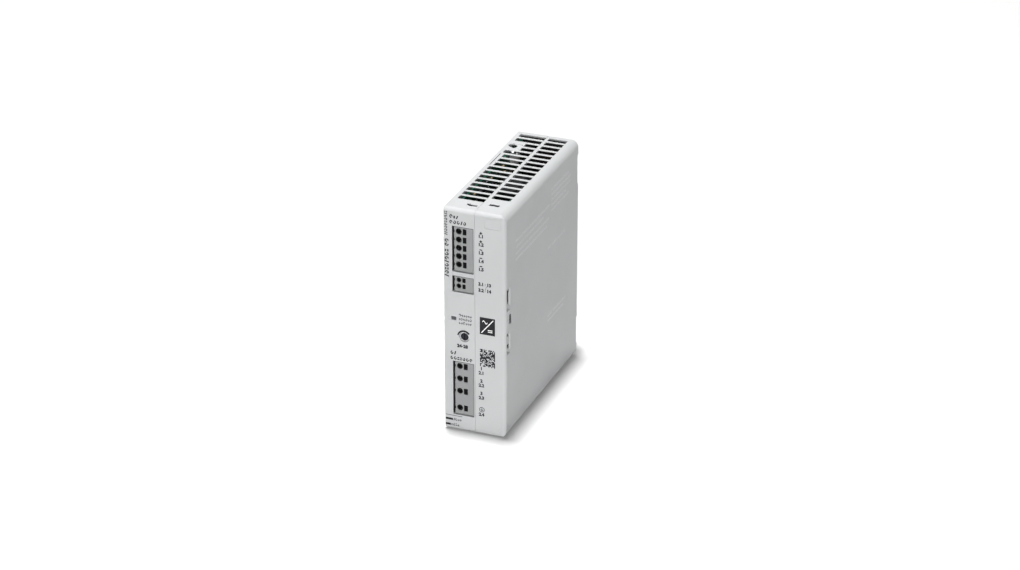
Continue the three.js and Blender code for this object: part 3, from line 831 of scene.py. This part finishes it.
def trimmer():
    """A case behind the front, a bright collar and the slotted knob with its arrow."""
    x, z = TRIMMER_PLACE.x, TRIMMER_PLACE.z
    low, high = corners("voltage_trimmer")
    radius = (high.x - low.x) / 2
    case_front = corners("trimmer_body")[0].y
    bore = mouth("Y", case_front, high.y + 0.3, round_outline(x, z, radius + 0.2, 40), 0.2)
    piece("trimmer_case", [node_block("trimmer_body", 0.3)], BLOCK, nodes=["trimmer_body"], cuts=[bore])
    collar_front = FRONT + 0.55
    collar = rod("Y", x, z, 2.75, collar_front, FRONT + FRONT_WALL + 0.2, 0.25, 48)
    collar_bore = mouth("Y", collar_front, FRONT + 4, round_outline(x, z, radius + 0.1, 48), 0.12)
    piece("trimmer_collar", [collar], ALUMINIUM, cuts=[collar_bore])
    knob = solid_object("trimmer_knob", [rod("Y", x, z, radius, low.y, high.y, 0.3, 40)])
    half = 0.38
    slot = plain_box(*around(x, half), low.y - 1, low.y + 0.8, *around(z, 4))
    arrow = prism("Y", low.y - 1, low.y + 0.3, [(x - half, z + 1.3), (x + half, z + 1.3), (x, z + 2.1)])
    cut_in_turn(knob, [slot, arrow])
    finish_piece(knob, "trimmer", TRIM, ["voltage_trimmer"])


status_light()
trimmer()


# ---- Printed marks ----

INK_PROUD = 0.03
INK_ROOT = 0.08
LABEL_X = 3.5
LABEL_HEIGHT = 1.85
DIAL_HEIGHT = 1.9
DIGIT_BOLD = 0.15
SIGN = (2.7, 11.3, 59.9, 69.9)
SPECKS = (2.7, 40.9, 8.6, 10.3, 16)
# Rows of strokes that stand in for text: start, end, base, height, salt, boldness, all capitals or not.
HEADING_ROWS = (
    (-14.1, -8.2, 124.2, 2.3, 1, 0.31, False),
    (-14.1, -3.6, 121.1, 2.1, 2, 0.31, True),
    (-14.1, -9.6, 45.1, 2.1, 3, 0.31, False),
    (-14.1, -1.6, 42.1, 2.0, 4, 0.31, True),
    (-9.2, -1.4, 68.1, 1.6, 11, 0.24, False),
    (-9.2, -2.2, 65.85, 1.6, 12, 0.24, False),
    (-9.2, -1.4, 63.6, 1.6, 13, 0.24, False),
    (-12.6, -7.4, 5.5, 1.6, 15, 0.24, False),
    (-13.9, -9.4, 2.3, 1.6, 16, 0.24, False),
)
UPRIGHT_ROWS = ((90.2, 113.4, -16.95, 2.4, 5, 0.3, True), (114.2, 127.8, -16.95, 1.7, 6, 0.28, True))
# Groups of faint raised rows on the side, in a lighter tone that paints the highlight on raised lettering:
# start and end depth, lowest base, rows, pitch.
SIDE_GROUPS = (
    (66, 97, 105.0, 5, 3.0), (14, 64, 98.5, 4, 3.6),
    (61, 89, 84.5, 1, 3.0), (61, 90, 41.0, 2, 3.0),
)
SIDE_HEIGHT = 1.7
# Above these shares of the random range comes a gap, a tall mark, a ring or a double bar.
GAP_ABOVE = 0.95
TALL_ABOVE = 0.5
RING_ABOVE = 0.3
BARS_ABOVE = 0.1


def scatter(index, salt=0.0):
    """A repeatable number from 0 to 1."""
    return (math.sin(index * 12.9898 + salt * 78.233 + 1.3) * 43758.5453) % 1


def on_front(outline, proud=INK_PROUD):
    return prism("Y", FRONT - proud, FRONT + INK_ROOT, outline)


def on_side(outline):
    """A mark on the right side, from an outline in depth behind the front and height."""
    return prism("X", RIGHT - INK_ROOT, RIGHT + INK_PROUD, [(back(depth), z) for depth, z in outline])


def bar_mark(x0, x1, z0, z1):
    return on_front(rectangle(x0, x1, z0, z1))


def arc_pieces(u, v, radius, widths, start, turn, steps, squeeze=1.0):
    """Part of a ring as four-sided outlines. Its width goes from the first of widths to the second."""
    sides = []
    for step in range(steps + 1):
        share = step / steps
        angle = math.radians(start + turn * share)
        half = (widths[0] + (widths[1] - widths[0]) * share) / 2
        reaches = (radius - half, radius + half)
        sides.append([(u + squeeze * r * math.cos(angle), v + r * math.sin(angle)) for r in reaches])
    return [[a, b, d, c] for (a, b), (c, d) in zip(sides, sides[1:])]


def open_ring(along, low, size, stroke, quarter):
    """A narrow ring with a slanting gap, and how far it reaches."""
    reach = size / 2
    narrow, turn, steps = 0.8, 305, 7
    start = 72.5 + 90 * quarter
    middle = along + narrow * reach
    ring = arc_pieces(middle, low + reach, reach - stroke / 2, (stroke, stroke), start, turn, steps, narrow)
    return ring, 2 * narrow * reach + 0.6 * stroke


def double_bar(along, low, size, stroke):
    """Two short bars, one above the other, and how far they reach."""
    across = size * 0.55
    levels = [low + (size - stroke) * share for share in (0.12, 0.88)]
    bars = [rectangle(along, along + across, level, level + stroke) for level in levels]
    return bars, across + 0.6 * stroke


def slant(along, low, size, stroke):
    lean = 0.9 * stroke
    top = low + size
    outline = [(along, low), (along + stroke, low), (along + stroke + lean, top), (along + lean, top)]
    return [outline], 2.3 * stroke


def word_strokes(start, end, base, height, salt, bold=0.24, capitals=False, upright=False, place=on_front):
    """A row of rings, bars and slants in word-like groups: it reads as fine print and says nothing."""
    marks = []
    along = start
    index = 0
    stroke = height * bold
    while along < end - height / 2:
        index += 1
        if scatter(index, salt + 2) > GAP_ABOVE:
            along += 2 * stroke
            continue
        size = height if capitals or scatter(index, salt) > TALL_ABOVE else height * 0.76
        kind = scatter(index, salt + 7)
        if kind > RING_ABOVE:
            shapes, width = open_ring(along, base, size, stroke, int(scatter(index, salt + 9) * 4))
        elif kind > BARS_ABOVE:
            shapes, width = double_bar(along, base, size, stroke)
        else:
            shapes, width = slant(along, base, size, stroke)
        along += width
        if upright:
            # The row runs up the face, and its tops point to the left.
            shapes = [[(2 * base + height - v, u) for u, v in shape] for shape in shapes]
        marks += [place(shape) for shape in shapes]
    return marks


def curve_mesh(curve):
    """The mesh that a curve or a text makes."""
    thing = new_object("curve", curve)
    mesh = evaluated_mesh(thing)
    bpy.data.objects.remove(thing)
    return mesh


def number_mesh(text, x, z, height=LABEL_HEIGHT):
    """Upright numbers on the front, centred on x and z, as a thin mesh."""
    curve = bpy.data.curves.new("number", "FONT")
    curve.body = text
    curve.align_x = curve.align_y = "CENTER"
    curve.size = height * 1.35 * MM
    curve.extrude = (INK_PROUD + INK_ROOT) / 2 * MM
    curve.offset = DIGIT_BOLD * MM
    curve.resolution_u = 3
    mesh = curve_mesh(curve)
    place = Vector((x, FRONT + (INK_ROOT - INK_PROUD) / 2, z)) * MM
    mesh.transform(Matrix.Translation(place) @ Matrix.Rotation(math.pi / 2, 4, "X"))
    return mesh


def ink_piece(name, solids, material, numbers=()):
    """Marks and numbers in one ink as one piece."""
    thing = new_object(name, mesh_of(name, solids, numbers))
    thing.data.materials.append(material)
    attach(thing, "housing")


def converter_sign(x0, x1, z0, z1):
    """The plain sign for a power converter: a square with a diagonal, a wave and a double line."""
    margin, slope = 0.85, 0.3
    a, b = x0 + margin, z0 + margin
    c, d = x1 - margin, z1 - margin
    outlines = [[(a, b), (a + slope, b), (c, d - slope), (c, d), (c - slope, d), (a, b + slope)]]
    for level in (z0 + 2.9, z0 + 1.9):
        outlines.append(rectangle(x1 - 4.0, x1 - 1.5, *around(level, 0.22)))
    steps, half = 14, 0.26
    wave = []
    for step in range(steps + 1):
        share = step / steps
        wave.append((x0 + 1.4 + 3.0 * share, z1 - 2.7 + 0.75 * math.sin(2 * math.pi * share)))
    for (u0, v0), (u1, v1) in zip(wave, wave[1:]):
        outlines.append([(u0, v0 - half), (u1, v1 - half), (u1, v1 + half), (u0, v0 + half)])
    return [on_front(outline, 2 * INK_PROUD) for outline in outlines]


def speckled_square(x0, z0, width, height, cells):
    """A square of random specks that holds no code: no corner marks and no data."""
    across = width / cells
    up = height / cells
    gap = 0.01
    marks = []
    for row in range(cells):
        run = 0
        for column in range(cells + 1):
            threshold = 0.14 if (row + column) % 2 else 0.54
            if column < cells and scatter(row * 31 + column, 7) > threshold:
                run += 1
                continue
            if run:
                left, right = x0 + (column - run) * across, x0 + column * across
                marks.append(bar_mark(left, right, z0 + row * up + gap, z0 + (row + 1) * up - gap))
            run = 0
    return marks


def plus_or_minus(x, z, is_plus):
    half, thin = 0.75, 0.3
    marks = [bar_mark(*around(x, half), *around(z, thin))]
    if is_plus:
        marks.append(bar_mark(*around(x, thin), z + thin, z + half))
        marks.append(bar_mark(*around(x, thin), z - half, z - thin))
    return marks


def output_labels():
    numbers = []
    marks = []
    for index, z in enumerate(way_heights("output")):
        marks += plus_or_minus(LABEL_X, z + 1.35, index < 2)
        numbers.append(number_mesh(f"1.{index + 1}", LABEL_X, z - 0.5))
    return marks, numbers


def signal_labels():
    """The numbers of the two signal ways, and the sign for a relay contact between them."""
    numbers = []
    high, low = way_heights("signal")
    for index, z in enumerate((high, low)):
        numbers.append(number_mesh(f"3.{index + 1}", LABEL_X, z))
        numbers.append(number_mesh(f"{13 + index}", LABEL_X + 4.4, z))
    x = LABEL_X + 2.3
    half = 0.1
    blade = [(x - half, low + 0.4), (x + half, low + 0.4), (x + 1.0, high - 0.7), (x + 0.8, high - 0.7)]
    marks = [
        bar_mark(*around(x, half), high - 0.6, high + 0.7),
        bar_mark(*around(x, half), low - 0.7, low + 0.4),
        on_front(blade),
    ]
    return marks, numbers


def input_labels():
    """The numbers of the input ways, and the earth sign at the last one."""
    numbers = []
    heights = way_heights("input")
    for index, z in enumerate(heights):
        if z > heights[-1]:
            numbers.append(number_mesh(f"{index + 1}", LABEL_X, z + 1.15))
        numbers.append(number_mesh(f"2.{index + 1}", LABEL_X, z - 1.5))
    x, z = LABEL_X + 0.2, heights[-1] + 1.5
    marks = [on_front(outline) for outline in arc_pieces(x, z, 1.4, (0.3, 0.3), 0, 360, 32)]
    marks.append(bar_mark(*around(x, 0.14), z + 0.1, z + 1.1))
    for row, half in enumerate((0.9, 0.58, 0.26)):
        level = z - 0.05 - row * 0.45
        marks.append(bar_mark(*around(x, half), *around(level, 0.13)))
    return marks, numbers


def dial_marks():
    """A wedge-shaped arc over the trimmer, thin at the low end, and the two end values under it."""
    x, z = TRIMMER_PLACE.x, TRIMMER_PLACE.z
    marks = [on_front(outline) for outline in arc_pieces(x - 0.1, z, 3.5, (0.8, 1.2), 170, -134, 24)]
    marks.append(bar_mark(x - 1.35, x - 0.65, z - 5.85, z - 5.4))
    values = (("24", x - 2.75), ("28", x + 0.75))
    return marks, [number_mesh(text, at, z - 5.6, DIAL_HEIGHT) for text, at in values]


def front_marks():
    edge = LEFT + 0.4
    dark = [bar_mark(edge, -12.9, 5.6, 6.8), bar_mark(edge, -14.2, 2.4, 3.6), bar_mark(*SIGN)]
    dark += speckled_square(*SPECKS)
    numbers = []
    for row in HEADING_ROWS:
        dark += word_strokes(*row)
    for row in UPRIGHT_ROWS:
        dark += word_strokes(*row, upright=True)
    for marks, digits in (dial_marks(), output_labels(), signal_labels(), input_labels()):
        dark += marks
        numbers += digits
    ink_piece("front_print_dark", dark, INK, numbers)
    ink_piece("front_print_grey", [bar_mark(edge, -7.6, 8.3, 8.7)], GREY_INK)
    ink_piece("converter_sign", converter_sign(*SIGN), PALE_INK)


def side_marks():
    """Faint raised marks on the right side in a lighter tone, a painted highlight on raised lettering: groups
    of rows that read as fine print and say nothing.
    """
    marks = []
    for group, (start, end, low, rows, pitch) in enumerate(SIDE_GROUPS):
        for row in range(rows):
            shorter = 9 * scatter(row, group + 31)
            salt = 40 + 7 * group + row
            marks += word_strokes(start, end - shorter, low + pitch * row, SIDE_HEIGHT, salt, place=on_side)
    ink_piece("side_lettering_highlight", marks, SIDE_HIGHLIGHT_INK)


front_marks()
side_marks()


# ---- Inside: boards ----

def keep_node(node, material, edge=0.2):
    """A frame node whose shape is right: softer edges and a better material."""
    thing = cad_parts[node]
    give_material(thing, material)
    bevel = thing.modifiers.new("soft edges", "BEVEL")
    bevel.width = edge * MM
    bevel.segments = 2
    bevel.limit_method = "ANGLE"
    bevel.angle_limit = math.radians(35)
    keep_flats_flat(thing, False)


def board_part(root, top, y, z, length, width, edge):
    """A small block on a board whose face looks along +X."""
    return block(root, top, *around(y, length / 2), *around(z, width / 2), edge, "X")


def small_parts():
    """Small parts in four rows along the upper part of the main board, and their solder."""
    count, rows = 46, 4
    pitch, row_pitch = 2.0, 3.4
    high = corners("main_board")[1]
    root = high.x - 0.02
    chips = []
    capacitors = []
    solder = []
    for index in range(count):
        y = back(8 + pitch * index + 1.4 * scatter(index, 1))
        z = high.z - 3.2 - row_pitch * (index % rows) - 1.2 * scatter(index, 2)
        if abs(y - SCREW_PLACE.y) < 8 and z > TOP - 12:
            # The boss of the housing screw takes this room.
            continue
        length = 1.6 + 1.6 * scatter(index, 3)
        width = 0.8 + 0.7 * scatter(index, 4)
        height = 0.6 + 0.7 * scatter(index, 6)
        kind = chips if scatter(index, 5) > 0.45 else capacitors
        kind.append(board_part(root, high.x + height, y, z, length, width, 0.12))
        for end in (y - length / 2, y + length / 2):
            solder.append(board_part(root, high.x + height * 0.6, end, z, 0.44, width + 0.1, 0.08))
    piece("board_chips", chips, BLACK)
    piece("board_chip_capacitors", capacitors, CHIP)
    piece("board_solder", solder, SOLDER)


def control_parts():
    """A row of chips with four legs on each side, on the outer side of the control board."""
    low, high = corners("control_board")
    count, pitch = 7, 8.2
    leg_pitch, leg_reach = 1.2, 2.3
    chips = []
    pins = []
    for index in range(count):
        z = high.z - 6 - pitch * index
        y = low.y + 8 + 5 * scatter(index, 21)
        chips.append(board_part(high.x, high.x + 1.2, y, z, 4.8, 3.8, 0.15))
        for leg_z in around(z, leg_reach):
            for leg in (-1.5, -0.5, 0.5, 1.5):
                pins.append(board_part(high.x, high.x + 0.4, y + leg_pitch * leg, leg_z, 0.4, 0.7, 0.05))
    piece("control_chips", chips, BLACK)
    piece("control_pins", pins, SOLDER)


keep_node("main_board", BOARD, 0.1)
keep_node("control_board", BOARD, 0.1)
small_parts()
control_parts()


# ---- Inside: wound parts, capacitors and heat sinks ----

def swept_wire(points, radius, sides):
    """A round wire through a list of points, as one mesh."""
    curve = bpy.data.curves.new("wire", "CURVE")
    curve.dimensions = "3D"
    curve.bevel_depth = radius * MM
    curve.bevel_resolution = sides // 4
    curve.use_fill_caps = True
    line = curve.splines.new("POLY")
    line.points.add(len(points) - 1)
    for target, point in zip(line.points, points):
        target.co = (*(Vector(point) * MM), 1)
    return curve_mesh(curve)


def flattened(wave):
    """A wave with its tops cut off, so that a turn lies flat on the four sides of a ring's section."""
    return max(-1, min(1, 1.25 * wave))


def toroid_winding(node, turns, wire):
    """Wire wound round a ring that stands on edge with its hole along X."""
    low, high = corners(node)
    middle = middle_of(node)
    outer = (high.z - low.z) / 2 - wire
    inner = outer * 0.42 + wire
    half = (high.x - low.x) / 2 - wire
    steps = 16
    points = []
    for step in range(turns * steps + 1):
        around = 2 * math.pi * step / (turns * steps)
        section = 2 * math.pi * step / steps
        radial = (outer + inner) / 2 + (outer - inner) / 2 * flattened(math.cos(section))
        across = half * flattened(math.sin(section))
        points.append(middle + Vector((across, radial * math.cos(around), radial * math.sin(around))))
    return swept_wire(points, wire / 2, 8)


def wound_ring(node, turns, wire, core_material):
    low, high = corners(node)
    y, z = middle_of(node).yz
    radius = (high.z - low.z) / 2 - 1.6 * wire
    hole = mouth("X", low.x + 1.5, high.x + 3, round_outline(y, z, radius * 0.52), 0.3)
    core = rod("X", y, z, radius, low.x + 1.6 * wire, high.x - 1.6 * wire, 0.8, 40)
    piece(node + "_core", [core], core_material, nodes=[node], cuts=[hole])
    winding = new_object(node + "_wire", toroid_winding(node, turns, wire))
    finish_piece(winding, "housing", COPPER, angle=60)


def can_capacitor(node):
    """A sleeved can that lies across the housing: crimp near the foot, scored aluminium top."""
    low, high = corners(node)
    y, z = middle_of(node).yz
    radius = (high.z - low.z) / 2
    length = high.x - low.x
    crimp = 2.6
    profile = [
        (0, 0.6), (0.25, 0.12), (0.6, 0),
        (crimp - 0.7, 0), (crimp - 0.25, 0.45), (crimp + 0.25, 0.45), (crimp + 0.7, 0),
        (length - 0.7, 0), (length - 0.2, 0.25), (length, 0.8),
    ]
    sleeve = loft("X", [(low.x + along, circle(y, z, radius - inward, 40)) for along, inward in profile])
    piece(node + "_sleeve", [sleeve], SLEEVE, nodes=[node])
    top = rod("X", y, z, radius - 1.0, high.x - 0.5, high.x + 0.06, 0.15, 36)
    reach, half, gap = radius * 0.6, 0.15, 0.2
    score_outlines = (
        (*around(y, reach), *around(z, half)),
        (*around(y, half), z + gap, z + reach),
        (*around(y, half), z - reach, z - gap),
    )
    scores = [plain_box(high.x - 0.08, high.x + 1, *outline) for outline in score_outlines]
    piece(node + "_top", [top], ALUMINIUM, cuts=scores)


def fuse(node):
    low, high = corners(node)
    y, z = middle_of(node).yz
    radius = (high.z - low.z) / 2
    cap = 3.4
    tube = rod("X", y, z, radius - 0.25, low.x + 2, high.x - 2, 0.1)
    caps = [rod("X", y, z, radius, start, start + cap, 0.35) for start in (low.x, high.x - cap)]
    piece(node + "_tube", [tube], CERAMIC, nodes=[node])
    piece(node + "_caps", caps, STEEL)


def transformer():
    """Ferrite core, taped winding between the flanges of a bobbin, and a band of tape over the core."""
    low, high = corners("transformer_core")
    middle = middle_of("transformer_core")
    wind_low, wind_high = corners("transformer_winding")
    wind_middle = middle_of("transformer_winding")
    keep_node("transformer_core", FERRITE, 0.5)

    def outline_at(inset):
        low_x, high_x = wind_low.x + inset, wind_high.x - inset
        return rounded_rectangle(low_x, high_x, wind_low.y + inset, wind_high.y - inset, 3.2, 8)

    leg = 5.3
    hole = rounded_rectangle(low.x - 0.3, high.x + 0.3, *around(wind_middle.y, leg), 0.6, 8)
    flange = (BLACK, "housing", [])
    tape = (TAPE, "housing", ["transformer_winding"])
    layers = (
        ("transformer_flange_1", 0, 1.2, 0.0, flange),
        ("transformer_tape", 1.5, 23.6, 0.5, tape),
        ("transformer_flange_2", 23.9, 25.1, 0.0, flange),
    )
    for name, start, end, inset, look in layers:
        start, end = wind_low.z + start, wind_low.z + end
        body = softened("Z", start, end, lambda more, inset=inset: outline_at(inset + more), 0.25)
        piece(name, [body], *look, cuts=[prism("Z", start - 1, end + 1, hole)])
    band = rounded_rectangle(low.y - 0.12, high.y + 0.12, low.z - 0.12, high.z + 0.12, 0.7, 4)
    inner = rounded_rectangle(low.y + 0.02, high.y - 0.02, low.z + 0.02, high.z - 0.02, 0.6, 4)
    band_solid = prism("X", *around(middle.x, 5.5), band)
    piece("core_band", [band_solid], BLACK, cuts=[prism("X", *around(middle.x, 6), inner)])


def heat_sink(node, name):
    """The frame's aluminium plate with upright ribs on its rear face, near black: partly a black anodised
    finish, partly painted shade for the inside seen through the vents.
    """
    keep_node(node, ANODISED_AND_SHADE, 0.15)
    low, high = corners(node)
    ribs = []
    count = 4
    for index in range(count):
        x = low.x + 8 + index * (high.x - low.x - 11) / (count - 1)
        ribs.append(block(*around(x, 0.4), high.y - 0.05, high.y + 1.2, low.z + 2, high.z - 2, 0.15, "Z"))
    piece(name, ribs, ANODISED_AND_SHADE)


def power_package(node):
    """A flat moulded package with its metal tab and three legs."""
    leg_pitch = 2.54
    low, high = corners(node)
    z = middle_of(node).z
    body = block(low.x, high.x - 5, low.y, high.y - 1, low.z, high.z, 0.3)
    tab = block(low.x + 0.5, high.x, high.y - 1, high.y, low.z + 0.2, high.z - 0.2, 0.1)
    hole = rod("Y", high.x - 2.4, z, 1.6, low.y - 1, high.y + 1, 0.05, 20)
    board_face = corners("main_board")[1].x
    legs = []
    for at in (z - leg_pitch, z, z + leg_pitch):
        legs.append(block(board_face, low.x + 0.2, low.y + 1.6, low.y + 2.1, *around(at, 0.4), 0.05))
    piece(node + "_body", [body], BLACK, nodes=[node])
    piece(node + "_tab", [tab], STEEL, cuts=[hole])
    piece(node + "_legs", legs, STEEL)


def boxed_part(node, material):
    piece(node + "_case", [node_block(node, 0.6)], material, nodes=[node])


def shade_sheets():
    """Black sheets in front of the rear wall and behind the slits in the right side: painted shade that
    darkens what shows through the vents and slits.
    """
    sheet = 0.6
    rear = back(DEPTH - REAR_WALL) - 0.1
    # Painted shade: black sheets that darken the inside seen through the top vents and the side slits.
    piece("rear_shade_sheet", [block(*around(0, 14.6), rear - sheet, rear, 58, TOP - 1.0, 0.1)], BLACK)
    side = RIGHT - SIDE_WALL - 1.4
    piece("side_shade_sheet", [block(side - sheet, side, back(3), back(17), 46, 90, 0.1)], BLACK)


shade_sheets()
transformer()
wound_ring("input_choke", 22, 1.1, FERRITE)
wound_ring("output_inductor", 20, 1.0, YELLOW)
for number in (1, 2):
    can_capacitor(f"bulk_capacitor_{number}")
    fuse(f"input_fuse_{number}")
for number in (1, 2, 3):
    can_capacitor(f"output_capacitor_{number}")
heat_sink("primary_heatsink", "primary_sink_ribs")
heat_sink("secondary_heatsink", "secondary_sink_ribs")
for package_node in ("bridge_rectifier", "switching_transistor", "output_rectifier"):
    power_package(package_node)
boxed_part("x_capacitor", YELLOW)
boxed_part("signal_relay", WHITE)


# ---- Screws and rail foot ----


def cross_recess(axis, u, v, surface, deep, arm, width):
    half = width / 2
    outlines = (
        rectangle(*around(u, arm), *around(v, half)),
        rectangle(*around(u, half), v + half, v + arm),
        rectangle(*around(u, half), v - arm, v - half),
    )
    return [prism(axis, surface, deep, outline) for outline in outlines]


def screw(node, axis):
    """A pan-head screw with a cross recess; the shank is hidden in its boss."""
    low, high = corners(node)
    middle = middle_of(node)
    u, v, start, end = (*middle.xy, low.z, high.z) if axis == "Z" else (*middle.xz, low.y, high.y)
    radius = (high.x - low.x) / 2
    head = softened(axis, end - 1.6, end, lambda inset: circle(u, v, radius - inset, 36), 0.7, 5)
    thing = solid_object(node + "_head", [head])
    combine(thing, [rod(axis, u, v, 1.2, start, end - 0.9, 0.3, 20)], "UNION")
    combine(thing, cross_recess(axis, u, v, end - 0.8, end + 1, radius * 0.55, 0.7))
    finish_piece(thing, "housing", STEEL, [node])


def latch_spring():
    """A coil of wire with even turns, in the place of the latch spring."""
    low, high = corners("latch_spring")
    middle_y = (low.y + high.y) / 2
    length = high.z - low.z
    wire = 0.6
    radius = (high.x - low.x) / 2 - wire / 2
    turns, steps = 7, 24
    points = []
    for step in range(turns * steps + 1):
        angle = 2 * math.pi * step / steps
        z = low.z + wire / 2 + (length - wire) * step / (turns * steps)
        points.append((radius * math.cos(angle), middle_y + radius * math.sin(angle), z))
    thing = new_object("latch_spring_coil", swept_wire(points, wire / 2, 12))
    give_material(thing, STEEL)
    smooth(thing, 60)
    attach(thing, "housing")
    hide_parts("latch_spring")
    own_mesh(thing)


screw("housing_screw", "Z")
screw("rail_screw_left", "Y")
screw("rail_screw_right", "Y")
keep_node("rail_adapter", ALUMINIUM, 0.25)
keep_node("foot_latch", BLACK, 0.3)
latch_spring()


# ---- Camera, light and floor ----

CAMERA_AZIMUTH = math.radians(21.55)
CAMERA_ELEVATION = math.radians(25.81)
CAMERA_DISTANCE = 1800
FOCAL_LENGTH = 117.6
CAMERA_TARGET_DEPTH = 60
AIM_LEFT = 3.67
AIM_DOWN = 3.62
WORLD_LIGHT = 0.07
FLOOR_HALF = 6
FLOOR_GAP = 0.25
# Places, sizes in metres and power in watts.
LIGHTS = {
    "key": ((0.78, -2.62, 0.85), 0.8, 80),
    "overhead": ((-0.09, 0.03, 2.65), 0.24, 106),
    "behind_left": ((-1.6, 2.0, 1.2), 1.2, 14),
}


def place_facing(thing, place, away):
    """Puts a camera or light at a place in metres, turned away from a direction."""
    thing.location = place
    thing.rotation_euler = away.to_track_quat("Z", "Y").to_euler()


def camera():
    """Looks from the front right and above, a little left of and below the middle of the housing."""
    level = math.cos(CAMERA_ELEVATION)
    away = Vector((
        math.sin(CAMERA_AZIMUTH) * level, -math.cos(CAMERA_AZIMUTH) * level, math.sin(CAMERA_ELEVATION),
    ))
    right = Vector((math.cos(CAMERA_AZIMUTH), math.sin(CAMERA_AZIMUTH), 0))
    up = away.cross(right)
    centre = Vector(((LEFT + RIGHT) / 2, back(CAMERA_TARGET_DEPTH), TOP / 2))
    aim = centre - right * AIM_LEFT - up * AIM_DOWN
    data = bpy.data.cameras.new("camera")
    data.lens = FOCAL_LENGTH
    data.clip_start = 0.05
    data.clip_end = 20
    thing = new_object("camera", data)
    place_facing(thing, (aim + away * CAMERA_DISTANCE) * MM, away)
    bpy.context.scene.camera = thing


def area_light(name, place, size, power):
    data = bpy.data.lights.new(name, "AREA")
    data.shape = "RECTANGLE"
    data.size = data.size_y = size
    data.energy = power
    place_facing(new_object(name, data), place, Vector(place) - Vector((0, 0, TOP / 2 * MM)))


def studio():
    """White surroundings, three lights and a pale floor."""
    scene = bpy.context.scene
    scene.world = bpy.data.worlds.new("studio")
    scene.world.use_nodes = True
    background = scene.world.node_tree.nodes["Background"]
    background.inputs["Color"].default_value = (1, 1, 1, 1)
    background.inputs["Strength"].default_value = WORLD_LIGHT
    scene.view_settings.view_transform = "Standard"
    for name, (place, size, power) in LIGHTS.items():
        area_light(name, place, size, power)
    mesh = bpy.data.meshes.new("floor")
    outline = rectangle(*around(0, FLOOR_HALF), *around(0, FLOOR_HALF))
    mesh.from_pydata([(x, y, 0) for x, y in outline], [], [(0, 1, 2, 3)])
    floor = new_object("floor", mesh)
    floor.location.z = (BOTTOM - FLOOR_GAP) * MM
    material, tree, shader = node_material("floor")
    mottle = noise(tree, object_coordinates(tree), 3, 2)
    tint(tree, shader, mottle, (0.595, 0.595, 0.595), (0.605, 0.605, 0.605))
    shader.inputs["Roughness"].default_value = 0.8
    floor.data.materials.append(material)


camera()
studio()
